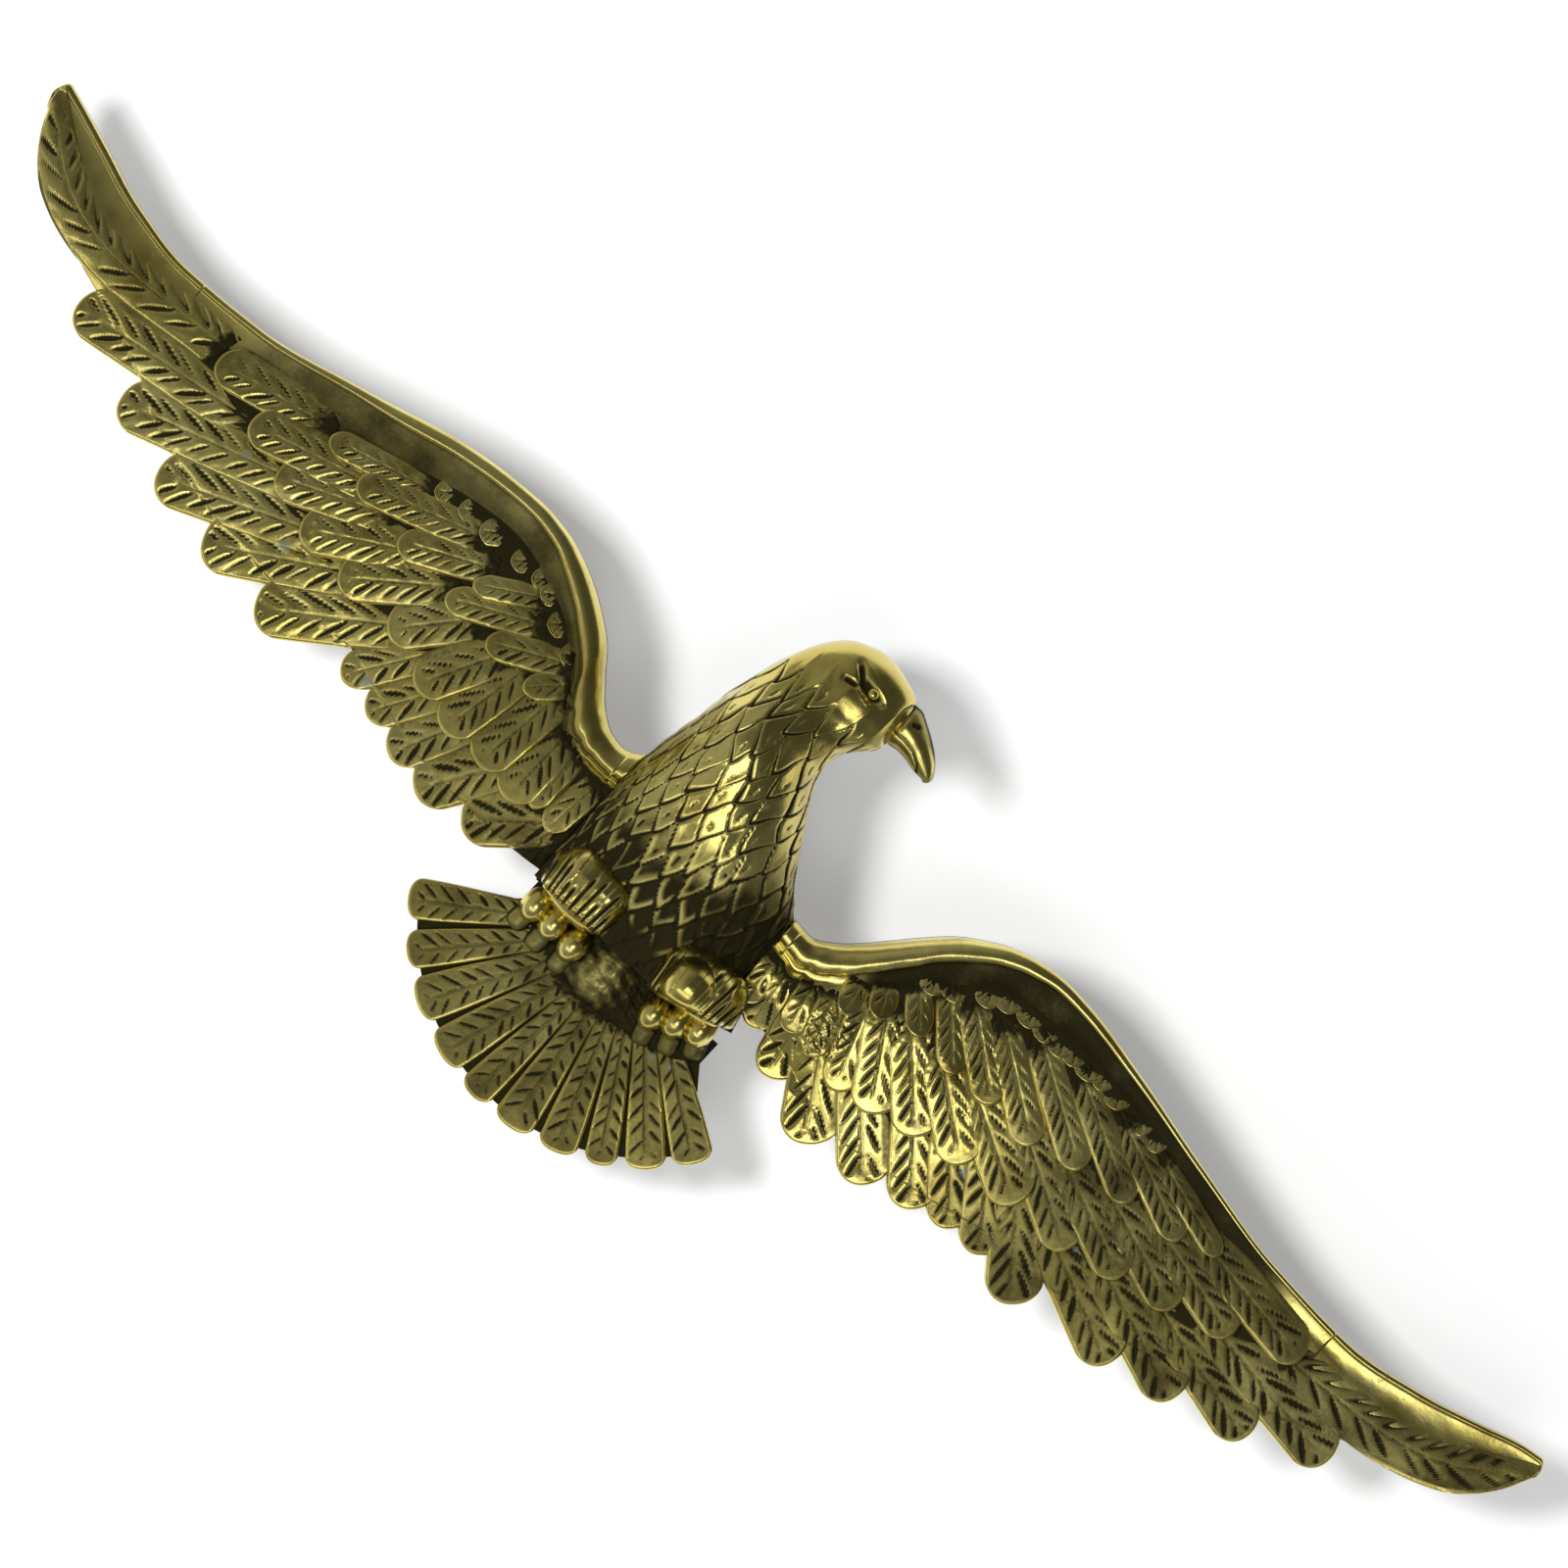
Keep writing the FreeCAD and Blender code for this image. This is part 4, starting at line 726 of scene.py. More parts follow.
# how far each feather's root runs on under the row above, and its shape
featherRows = {
    "flight_feathers": (14, {"Rows": 130, "Root Lift": -0.8, "Tip Lift": 2.0, "Smooth Tip": 1.8,
                             "Lead Pitch": 7.0, "Lead Cut": 0.5}),
    "coverts": (10, {"Rows": 104, "Columns": 37, "Seed": 11.0, "Root Lift": -0.4, "Tip Lift": 3.0,
                     "Lead Pitch": 6.6, "Trail Pitch": 4.9, "Cut Width": 1.75, "Lead Cut": 0.5}),
    "small_coverts": (7, {"Rows": 84, "Columns": 33, "Seed": 23.0, "Root Lift": -0.2, "Tip Lift": 2.7,
                          "Lead Pitch": 5.6, "Trail Pitch": 4.1, "Cut Width": 1.5, "Lead Side": 1.1}),
    "leaflets": (3, {"Rows": 44, "Columns": 25, "Seed": 53.0, "Root Lift": -0.9, "Tip Lift": 0.8,
                     "Tip Length": 3.4, "Tip Squareness": 1.6, "Root Share": 0.3, "Lead Pitch": 2.4,
                     "Trail Pitch": 2.2, "Cut Width": 0.8, "Smooth Tip": 1.2, "Edge Radius": 0.5,
                     "Roll": 0.2, "Crown": 0.15, "Cut Slope": 0.7,
                     "Lead Side": 1.35, "Trail Side": 1.35, "Dullness": 0.45, "Outer Dullness": 0.0}),
    "tip_feather": (4, {"Rows": 210, "Columns": 45, "Seed": 31.0, "Tip Length": 26.0, "Bend Skew": 1.36,
                        "Tip Squareness": 1.5, "Root Lift": 0.2, "Tip Lift": 0.8, "Crown": 0.4,
                        "Root Patina And Shade": 0.1, "Lead Pitch": 7.0, "Trail Pitch": 8.0, "Lead Lean": 1.5,
                        "Lead Reach": 0.97, "Cut Width": 2.0, "Lead Cut": 0.6, "Lead Side": 1.0,
                        "Trail Side": 1.2}),
}


def wingGuides(side, sign, places, tuck, bend):
    guides = []
    for rootOut, rootDrop, tipOut, tipDrop, width in places:
        root, tip = np.array([rootOut, tipLevel - rootDrop]), np.array([tipOut, tipLevel - tipDrop])
        toRoot = (root - tip) / np.linalg.norm(root - tip)
        ceiling = float(wingSection(side, root[0])["fieldStart"]) - 1
        root = root + toRoot * np.clip((ceiling - root[1]) / max(toRoot[1], 0.1), 0, tuck)
        base = float(fieldHeight(wingSection(side, tip[0]), tip[1]))
        guides.append((sign * root[0], root[1], sign * tip[0], tip[1], width, bend, sign, base))
    return guides


# materials

brassLook = {
    "light": (0.76, 0.66, 0.22, 1),
    "middle": (0.62, 0.52, 0.14, 1),
    "brown": (0.42, 0.31, 0.07, 1),
    "patina": (0.03, 0.025, 0.009, 1),
    "verdigris": (0.13, 0.19, 0.17, 1),
    "polished": 0.25,       # roughness of the rubbed faces and of the dark recesses
    "recess": 0.6,
    # places where the patina has turned green: x, z and radius
    "spots": [(-115, -45, 3), (107.5, 1, 1.8), (116.5, -30.5, 2), (157, -24.5, 1.4), (24.5, -69, 1.6),
              (30.5, -68, 1.4), (-24, -66, 1.2), (-161, -32, 2.6), (-188, -20, 2.2)],
}


def mixColour(tree, share, first, second):
    node = addNode(tree, "ShaderNodeMix", data_type="RGBA")
    feed(tree, share, node.inputs[0])
    feed(tree, first, node.inputs[6])
    feed(tree, second, node.inputs[7])
    return Field(tree, node.outputs[2])


def newMaterial(name):
    material = bpy.data.materials.new(name)
    material.use_nodes = True
    tree = material.node_tree
    shader = tree.nodes["Principled BSDF"]
    coordinates = Field(tree, addNode(tree, "ShaderNodeTexCoord").outputs["Object"])

    def noise(scale, detail=2.0, distortion=0.0):
        node = addNode(tree, "ShaderNodeTexNoise", {"Vector": coordinates, "Scale": scale, "Detail": detail,
                                                    "Distortion": distortion})
        return Field(tree, node.outputs[0])

    return material, tree, shader, coordinates, noise


def brassMaterial(name):
    material, tree, shader, coordinates, noise = newMaterial(name)
    patina = Field(tree, addNode(tree, "ShaderNodeAttribute", attribute_name="patina").outputs["Fac"])
    broad = noise(22, 3, 0.4)
    blotch = noise(70, 4)
    grain = noise(900, 3)
    colour = mixColour(tree, broad.ramp(0.35, 0.65), brassLook["middle"], brassLook["light"])
    colour = mixColour(tree, blotch.ramp(0.5, 0.75) * 0.7, colour, brassLook["brown"])
    # the mask darkens towards the patina colour: the dark patina that the recesses hold, thinning towards the rubbed
    # faces, and painted shade laid into the same mask
    dark = (patina * (0.75 + blotch * 0.5) + (grain - 0.5) * 0.08).ramp(0.18, 0.75)
    specks = noise(260, 2).ramp(0.68, 0.74) * 0.18
    dark = dark.atLeast(specks)
    placeX, placeZ = separate(tree, coordinates)[::2]
    green = 0.0
    for x, z, radius in brassLook["spots"]:
        away = ((placeX / mm - x) ** 2 + (placeZ / mm - z) ** 2) ** 0.5
        green = (1 - away / radius + (blotch - 0.5) * 1.5).atLeast(green)
    green = green.ramp(0.05, 0.7) * 0.7
    colour = mixColour(tree, dark, colour, brassLook["patina"])
    colour = mixColour(tree, green, colour, brassLook["verdigris"])
    feed(tree, colour, shader.inputs["Base Color"])
    feed(tree, 1 - (dark * 0.3 + green * 0.5).atMost(0.9), shader.inputs["Metallic"])
    feed(tree, 0.5 - dark * 0.4, shader.inputs["Specular IOR Level"])
    rough = brassLook["polished"] + (brassLook["recess"] - brassLook["polished"]) * dark
    feed(tree, rough + (broad - 0.5) * 0.12 + (grain - 0.5) * 0.08, shader.inputs["Roughness"])
    bump = addNode(tree, "ShaderNodeBump", {"Strength": 0.2, "Distance": 0.0006,
                                            "Height": grain * (0.15 + dark) + noise(350, 2) * 0.35})
    feed(tree, Field(tree, bump.outputs[0]), shader.inputs["Normal"])
    return material


castBrass = brassMaterial("cast_brass")

# for each wing its side of x, the bow of its tip feather and how dull its feathers are
for side, sign, bow, dull, outer in (("left", -1, 16, 0.5, -0.25), ("right", 1, 10.5, 0.2, 0.36)):
    shells[side].data.materials.append(castBrass)
    for row, (tuck, shape) in featherRows.items():
        shape = {"Dullness": dull, "Outer Dullness": outer, **shape}
        bend = bow if row == "tip_feather" else 0
        guides = wingGuides(side, sign, featherPlaces[side][row], tuck, bend)
        piece = bakeFeathers("%s_%s" % (side, row), guides, shape, shells[side])
        piece.data.materials.append(castBrass)
        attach(piece, "root")
    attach(shells[side], "root")
    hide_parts(side + "_wing")


# body

bodyLook = {
    "crown": 67.2,
    "crownStart": 60,       # the rows lie closer together above this level
    "side": 11,             # height of the upright sides
    "rows": 264,
    "crownRows": 26,
    "columns": 184,
    "backColumns": 18,
    "hollowRise": 8,        # line through the tips up to the top of the hollow in the neck
    "crestLeft": 0.2,       # how far left of the middle the breast's ridge runs, over the half width
    "headFlat": 0.5,        # 1 is a round section; below that the head is flatter
    # root of the distance below the crown, left and right edge, height of the front
    "sections": [
        (0.0, -5.6, -4.4, 13.0), (0.45, -7.8, -1.8, 18.0), (1.0, -10.5, 1.8, 21.5),
        (1.41, -13.0, 5.0, 23.8), (1.87, -16.0, 9.2, 26.2), (2.65, -20.0, 11.6, 29.2),
        (3.46, -23.5, 12.0, 31.4), (4.12, -26.0, 12.0, 31.8), (4.69, -28.0, 11.3, 31.4),
        (4.90, -28.6, 10.0, 31.7), (5.39, -30.2, 5.4, 33.0), (5.74, -31.3, 3.4, 35.4),
        (6.08, -32.3, 3.1, 37.6), (6.48, -33.5, 4.2, 39.4), (6.93, -34.4, 7.0, 39.9),
        (7.28, -35.2, 10.2, 39.3), (7.81, -36.9, 15.2, 37.8), (8.31, -38.0, 20.2, 35.9),
        (8.66, -38.9, 25.4, 34.4), (8.89, -39.6, 28.4, 33.4), (9.38, -40.5, 30.0, 31.2),
        (10.20, -40.5, 30.0, 27.8), (10.97, -39.0, 30.0, 22.3),
    ],
}


def dice(a, b, seed=0):
    # a number from 0 to 1 that looks random but is the same each run
    return np.modf(np.abs(np.sin(a * 12.9898 + b * 78.233 + seed * 37.719) * 43758.5453))[0]


def lens(distance, halfLength, halfWidth):
    # half width of a lens shaped cut at a distance from its middle
    return halfWidth * np.clip(1 - (distance / halfLength) ** 2, 0.001, 1)


scaleLook = {
    "firstLevel": 46, "rowPitch": 8.6, "lowRowPitch": 7.2, "columnPitch": 8.2, "drop": 9.8, "point": 1.35,
    "grooveHalf": 0.5, "grooveDepth": 0.6, "neckRelief": 0.4, "bellyRelief": 0.75,
    "strokeUp": 6.2, "strokeHalf": 1.9, "strokeWide": 0.38, "strokeDepth": 0.45,
    "rows": 15, "shift": 0.35, "lowRow": 9, "outward": 12.5,
}


def scaleRelief(u, z):
    # engraved pointed scales that overlap downwards: depth change, and darkness from patina in the cuts and painted
    # shade below each scale's edge
    look = scaleLook
    u = u + 1.3 * ripple(u, z, 13, 1) + 0.5 * ripple(u, z, 4, 2)
    z = z + 1.4 * ripple(u, z, 12, 3)
    relief, dark = np.zeros(u.shape), np.zeros(u.shape)
    owned = np.zeros(u.shape, bool)
    level = look["firstLevel"]
    for row in range(look["rows"]):
        place = u / look["columnPitch"] + 0.5 * (row % 2) + look["shift"]
        cell = np.floor(place)
        beside, tip = place - cell, 0.5 + 0.3 * (dice(cell, row, 7) - 0.5)
        part = np.where(beside < tip, 1 - beside / tip, (beside - tip) / (1 - tip))
        drop = look["drop"] * (1 + 0.4 * (dice(cell, row) - 0.5))
        edge = level - drop * (1 - part ** look["point"])
        slope = look["drop"] * look["point"] * part ** (look["point"] - 1) * 2 / look["columnPitch"]
        away = np.abs(z - edge) / np.hypot(1, slope)
        free = ~owned
        low = ramp(20, -30, z)
        mine = free & (z >= edge)
        raised = blend(look["neckRelief"], look["bellyRelief"], low)
        relief += mine * raised * (1 - np.clip((z - edge) / look["drop"], 0, 1))
        swell = (0.7 + 0.6 * dice(cell, row, 2)) * (1.35 - 1.15 * part ** 1.5)
        groove = np.clip(1.25 - away / (look["grooveHalf"] * swell), 0, 1) * free
        depth = look["grooveDepth"] * groove * (1.1 - 0.5 * part)
        # painted shade below each scale's edge
        under = 0.55 * np.exp(-away / 1.1) * free * (z < edge) * (1 - 0.6 * part)
        stroke = z - (level - drop + look["strokeUp"])
        across = (beside - tip) * look["columnPitch"] + 0.5 * (dice(cell, row, 3) - 0.5)
        cut = np.clip(1 - np.abs(across) / lens(stroke, look["strokeHalf"], look["strokeWide"]), 0, 1)
        cut = cut * (np.abs(stroke) < look["strokeHalf"]) * (dice(cell, row, 4) > 0.2) * mine
        relief -= np.maximum(depth, cut * look["strokeDepth"])
        dark = np.maximum.reduce([dark, np.maximum(groove, cut) * 0.95, under])
        owned |= mine
        level -= blend(look["rowPitch"], look["lowRowPitch"], min(1, row / look["lowRow"]))
    return relief, dark


def bump(x, z, centre, half, turn=0, power=2):
    # a soft mound in the picture plane, turned by degrees
    c, s = math.cos(math.radians(turn)), math.sin(math.radians(turn))
    dx, dz = x - centre[0], z - centre[1]
    along, across = (dx * c + dz * s) / half[0], (dz * c - dx * s) / half[1]
    return np.exp(-(np.abs(along) ** power + np.abs(across) ** power))


def lineDistance(x, z, path):
    # distance from a bent line and how far along it, from 0 to 1
    path = np.asarray(path, float)
    lengths = np.hypot(*np.diff(path, axis=0).T)
    starts = np.concatenate([[0], np.cumsum(lengths)])
    best, place = np.full(x.shape, 1e9), np.zeros(x.shape)
    for (a, b), length, start in zip(zip(path[:-1], path[1:]), lengths, starts):
        t = np.clip(((x - a[0]) * (b[0] - a[0]) + (z - a[1]) * (b[1] - a[1])) / length ** 2, 0, 1)
        away = np.hypot(x - a[0] - t * (b[0] - a[0]), z - a[1] - t * (b[1] - a[1]))
        closer = away < best
        best[closer], place[closer] = away[closer], ((start + t * length) / starts[-1])[closer]
    return best, place


def headRelief(x, z):
    # eye socket, brow, cheek and the ridge at the beak
    socket = bump(x, z, (-2.0, 55.3), (5.2, 2.2), -14, 4)
    wedge = bump(x, z, (-7.2, 57.6), (4.0, 1.1), -38, 4)
    notch = bump(x, z, (-8.6, 53.6), (2.6, 1.1), 8, 4)
    brow, browAlong = lineDistance(x, z, [(-10, 60.8), (-5, 59.6), (0, 58.2), (4.0, 55.6)])
    ridge = lineDistance(x, z, [(11.4, 60.5), (10.4, 57.5), (11.0, 53.5), (12.2, 48.5)])[0]
    lid = lineDistance(x, z, [(-5.0, 53.6), (-3.0, 52.6), (-0.6, 52.2), (1.8, 52.9), (3.2, 54.6)])[0]
    relief = -1.5 * socket - 1.0 * wedge - 0.8 * notch
    relief += 0.2 * np.exp(-(brow / 1.2) ** 2) * ramp(0, 0.25, browAlong)
    relief += 0.2 * np.exp(-(lid / 0.6) ** 2)
    besideRidge = np.exp(-((ridge - 1.4) / 0.6) ** 2)
    relief += 0.5 * np.exp(-(ridge / 0.7) ** 2) - 0.55 * besideRidge * (x < 11.2)
    relief += 0.5 * bump(x, z, (-3, 46), (9, 6))
    dark = np.maximum(np.maximum(socket, wedge) * 0.95, notch * 0.9)
    dark = np.maximum(dark - 1.2 * np.exp(-(lid / 0.7) ** 2), 0.5 * besideRidge)
    return relief, np.clip(dark, 0, 1)


def bodyLevels():
    # the level of each row of points, from the lower edge to the crown
    crown, start = bodyLook["crown"], bodyLook["crownStart"]
    drops = np.linspace(math.sqrt(crown - start), 0.25, bodyLook["crownRows"] + 1)[1:] ** 2
    return np.concatenate([np.linspace(bodyFoot, start, bodyLook["rows"]), crown - drops])


def bodyFront():
    # place and darkness of the front, row by row
    table, side, z = np.array(bodyLook["sections"]), bodyLook["side"], bodyLevels()
    below = np.sqrt(bodyLook["crown"] - z)
    left, right, front = (smoothCurve(table[:, 0], table[:, column], below) for column in (1, 2, 3))
    turn = np.linspace(0, math.pi, bodyLook["columns"])
    middle, half = ((left + right) / 2)[:, None], ((right - left) / 2)[:, None]
    shift = bodyLook["crestLeft"] * ramp(45, 25, z)[:, None]
    x = middle - half * (np.cos(turn) + shift * np.sin(turn) ** 2)
    flat = blend(1.0, bodyLook["headFlat"], ramp(26, 38, z))[:, None]
    height = side + (front[:, None] - side) * np.sin(turn) ** flat
    z = np.repeat(z[:, None], len(turn), 1)
    u = middle + half * (turn - math.pi / 2)
    scales, scaleDark = scaleRelief(u + scaleLook["outward"], z)
    onHead = ramp(38, 44, z)
    head, headDark = headRelief(x, z)
    away = scales + head * onHead + 0.12 * ripple(x, z, 6, 5)
    dark = np.maximum(scaleDark, headDark * onHead)
    # the surface moves along its own outward direction
    place = np.stack([x, height, z], axis=-1)
    down, across = np.gradient(place, axis=0), np.gradient(place, axis=1)
    outward = np.cross(across, down)
    outward /= np.maximum(np.linalg.norm(outward, axis=-1, keepdims=True), 1e-9)
    if outward[:, len(turn) // 2, 1].mean() < 0:
        outward = -outward
    trim = ramp(0.0, 0.12, np.sin(turn))[None, :]
    place = place + outward * (away * trim)[..., None]
    between = np.clip(place[..., 0], -plaque["leftSeam"], plaque["rightSeam"])
    place[..., 0] = np.where(place[..., 2] < 20, between, place[..., 0])
    # painted shade darkens the belly, less on the rubbed raised scale edges, and the far side; the seams and the
    # lower edge are dark
    # painted shade on the belly, growing towards the lower edge
    belly = ramp(12, -40, z) * (0.85 + 0.16 * ripple(x, z, 5, 6)) * (1 - 0.4 * ramp(0.25, 0.6, scales))
    # painted shade on the far side
    farSideShade = 0.3 * ramp(0.1, 0.7, (x - middle) / half) * ramp(34, 26, z)
    betweenLegs, lowerEdge = bump(x, z, (-2.5, -56), (13, 17), 0, 3), 0.8 * ramp(-46, -51, z)
    nearSeam = np.maximum(ramp(-36, -40, place[..., 0]), ramp(26, 30, place[..., 0])) * (z < 5) * 0.7
    dark = np.maximum.reduce([dark, belly + farSideShade, betweenLegs, lowerEdge, nearSeam])
    return place, np.clip(dark, 0, 1)


def bodyPiece():
    # the front, and behind it a flat back or, in the breast, a hollow
    place, dark = bodyFront()
    side, hollowEnds = bodyLook["side"], (bodyFoot + wall, tipLevel + bodyLook["hollowRise"])
    levels = bodyLevels()
    rings, patina = [], []
    for front, frontDark, level in zip(place, dark, levels):
        a, b = front[0, 0], front[-1, 0]
        inset = min(wall, (b - a) * 0.25)
        backX = np.concatenate([[b], np.linspace(b - inset, a + inset, bodyLook["backColumns"]), [a]])
        backHeight = np.zeros(len(backX))
        middle, width = (a + b) / 2, (b - a) / 2 - inset
        if hollowEnds[0] < level < hollowEnds[1]:
            share = np.clip((backX[1:-1] - middle) / max(width, 0.1), -1, 1)
            rise = (front[len(front) // 2, 1] - wall - side) * np.sqrt(np.clip(1 - share ** 2 * 0.9, 0, 1))
            backHeight[1:-1] = np.maximum(0, side + rise - 2.5)
        back = np.stack([backX, backHeight, np.full(len(backX), level)], axis=-1)
        rings.append(np.concatenate([front, back]))
        patina.append(np.concatenate([frontDark, np.full(len(backX), 0.7)]))
    return tube(rings) + (np.concatenate(patina),)


beakLook = {
    "rows": 64, "around": 64,
    # x, height and z of the middle, upright radius, radius towards the viewer, turn in degrees
    "rings": [
        (6.0, 18, 54.5, 5.0, 2.5, 0), (10.0, 18, 55.0, 6.9, 5.6, 0), (12.6, 18, 54.9, 7.1, 7.2, 2),
        (16.0, 18, 54.2, 6.0, 6.9, 6), (20.0, 18, 52.8, 4.9, 5.8, 12), (23.5, 18, 51.0, 3.95, 4.7, 22),
        (26.2, 18, 49.3, 2.8, 3.6, 38), (27.5, 18, 48.0, 1.9, 2.7, 58), (27.8, 18, 47.1, 1.0, 1.6, 75),
        (27.7, 18, 46.6, 0.3, 0.5, 80),
    ],
    "mouth": [(11, 51.6), (15, 51.7), (19, 51.0), (22.5, 49.0), (24.5, 46.8)],
    "mouthHalf": 0.55, "mouthDepth": 0.55,
    "nostril": (14.6, 57.2), "nostrilHalf": (1.5, 0.7), "nostrilTurn": 20, "nostrilDepth": 0.6,
}


def ringTube(rings, around):
    angles = np.linspace(0, 2 * math.pi, around, endpoint=False)
    points = []
    for x, height, z, upright, depth, turn in rings:
        c, s = math.cos(math.radians(turn)), math.sin(math.radians(turn))
        lift, out = upright * np.cos(angles), depth * np.sin(angles)
        points.append(np.stack([x + s * lift, height + out, z + c * lift], axis=-1))
    return np.array(points)


def beakPiece():
    rows = np.array(beakLook["rings"])
    places = np.linspace(0, len(rows) - 1, beakLook["rows"])
    rows = np.stack([smoothCurve(np.arange(len(rows)), column, places) for column in rows.T], axis=-1)
    rings = ringTube(rows, beakLook["around"])
    x, height, z = rings[..., 0], rings[..., 1], rings[..., 2]
    facing = height > beakLook["rings"][0][1]
    groove = np.clip(1 - lineDistance(x, z, beakLook["mouth"])[0] / beakLook["mouthHalf"], 0, 1) * facing
    nostril = bump(x, z, beakLook["nostril"], beakLook["nostrilHalf"], beakLook["nostrilTurn"], 4) * facing
    push = beakLook["mouthDepth"] * groove + beakLook["nostrilDepth"] * nostril
    inward = rings.mean(axis=1, keepdims=True) - rings
    rings = rings + inward / np.maximum(np.linalg.norm(inward, axis=-1, keepdims=True), 0.3) * push[..., None]
    # dark in the cuts, against the head and at the sides, with painted shade along the top
    dark = np.maximum.reduce([groove, nostril, 0.9 * ramp(11.4, 10.2, x)]) + 0.5 * ramp(22, 19, height)
    # painted shade along the top of the beak
    dark += 0.45 * ramp(56.0, 58.5, z + 0.25 * (x - 12))
    return tube(rings) + (np.clip(dark, 0, 1).ravel(),)


def sheet(x, height, z, low, dark):
    # a closed piece with a modelled top, given by rows of points, and a flat underside
    rings = []
    for row in range(len(x)):
        top = np.stack([x[row], height[row], z[row]], axis=-1)
        under = top[::-1].copy()
        under[:, 1] = low
        rings.append(np.concatenate([top, under]))
    return tube(rings) + (np.concatenate([np.concatenate([line, line[::-1]]) for line in dark]),)


legLook = {
    # middle, half width, upper and lower end, height, lean, slope of the hem, places of the upright cuts
    "left": (-23.0, 14.2, -31.0, -53.8, 32.5, 0.02, 0.0,
             [-36.2, -34.6, -32.2, -30.6, -28.4, -26.3, -23.7, -21.0, -18.6, -16.4, -14.2, -12.1, -10.4]),
    "right": (20.0, 15.0, -31.0, -51.8, 31.5, -0.25, 0.28,
              [6.3, 8.2, 10.6, 12.3, 14.9, 17.4, 19.6, 22.3, 24.4, 26.8, 28.9, 31.3, 33.4]),
    "base": 9, "bed": 6, "columns": 100, "rows": 62, "cutHalf": 0.55, "cutDepth": 1.1,
    # bare swelling on the right leg: middle, half sizes and height
    "knob": (17.6, -45.4, 8.2, 8.6, 5.0),
}


def thigh(side):
    # feathered upper leg: square below, running out softly above, with upright cuts of uneven length
    middle, half, top, foot, high, lean, slope, cuts = legLook[side]
    across, upright = np.meshgrid(np.linspace(-1, 1, legLook["columns"]), np.linspace(-1, 1, legLook["rows"]))
    foot = foot + slope * half * across
    z = blend(foot, top, (upright + 1) / 2)
    x = middle + half * across + lean * (z - (top + foot) / 2)
    power = np.where(upright > 0, 1.5, 12.0)
    round_ = np.clip(1 - np.abs(across) ** 4 - np.abs(upright) ** power, 0, 1) ** 0.4
    height = legLook["base"] + (high - legLook["base"]) * round_
    fan = middle + (x - middle) * (1 - 0.012 * (z - foot))
    order = np.arange(len(cuts))
    place = np.interp(fan, cuts, order)
    nearest = np.round(place)
    away = np.abs(fan - np.interp(nearest, order, cuts)) + 0.12 * ripple(x, z, 2.5, 3)
    start = blend(foot + 7, foot + 16, dice(nearest, 3.0, 1))
    groove = np.clip(1.2 - away / legLook["cutHalf"], 0, 1) * ramp(start + 1, start - 2.5, z)
    if side == "right":
        knobX, knobZ, knobAcross, knobUpright, knobHigh = legLook["knob"]
        knob = np.clip(1 - ((x - knobX) / knobAcross) ** 2 - ((z - knobZ) / knobUpright) ** 2, 0, 1)
        height += knobHigh * knob ** 0.8
        groove *= ramp(0.1, 0.0, knob)
    height -= legLook["cutDepth"] * groove
    height += 0.35 * (dice(np.floor(place), 5.0, 2) - 0.5) * round_ + 0.1 * ripple(x, z, 1.8, 5)
    dark = np.clip(groove * 0.9 + 0.7 * ramp(0.5, 0.25, round_) + 0.15 + 0.15 * ripple(x, z, 3, 2), 0, 1)
    return sheet(x, np.maximum(height, legLook["base"] - 1), z, legLook["bed"], dark)


eye = ball(-1.2, 29.6, 55.4, 2.0, 2.2, 1.9, 32, 18)
body = meshObject("body", *gather([bodyPiece(), beakPiece(), eye, thigh("left"), thigh("right")]))
body.data.materials.append(castBrass)
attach(body, "root")
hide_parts("body_shell")
print("body made")


# tail

tailLook = {
    "hub": (-2.97, -43.0),
    "plateRadius": 68.5, "plateHigh": 3.8, "halfSpread": 55,
    "rootRadius": 26, "tipRadius": 72, "width": 14,
    "padHalf": 36.5, "padSide": 8, "padLength": 18, "padHigh": 8,
    "humpDrop": 9, "humpRadius": 9, "humpHigh": 14.5, "ridgeHigh": 3.5, "ridgeWide": 7,
    "padEdge": 3.5, "padFall": 3.2, "padColumns": 200, "padRows": 90,
    # direction of each feather over the half spread, and its width over the full width
    "feathers": [(-1.0, 1.0), (-0.77, 0.94), (-0.54, 1.12), (-0.29, 1.10), (-0.066, 0.88),
                 (0.153, 1.04), (0.38, 0.98), (0.583, 0.80), (0.786, 0.98), (1.0, 1.0)],
    "shape": {"Rows": 110, "Columns": 39, "Tip Length": 4.6, "Tip Squareness": 2.4, "Root Share": 0.27,
              "Full At": 0.97, "Root Lift": 3.0, "Tip Lift": 1.2, "Roll": 0.0, "Crown": 0.06,
              "Edge Radius": 0.9, "Rib Width": 0.6, "Rib Depth": 0.6, "Lead Pitch": 5.0, "Trail Pitch": 5.0,
              "Cut Width": 1.2, "Lead Reach": 0.86, "Trail Reach": 0.86, "Lead Lean": 1.0, "Trail Lean": 1.0,
              "Lead Side": 0.95, "Trail Side": 0.95, "Smooth Tip": 3.4, "Barb Bulge": 0.0,
              "Tip Fall": 0.0, "Dullness": 0.55, "Cut Slope": 0.8, "Lead Cut": 0.5,
              "Unevenness": 0.06, "Root Patina And Shade": 0.3, "Seed": 41.0},
}


def tailSpot(turn, radius):
    (hubX, hubZ), angle = tailLook["hub"], math.radians(turn)
    return hubX + radius * math.sin(angle), hubZ - radius * math.cos(angle)


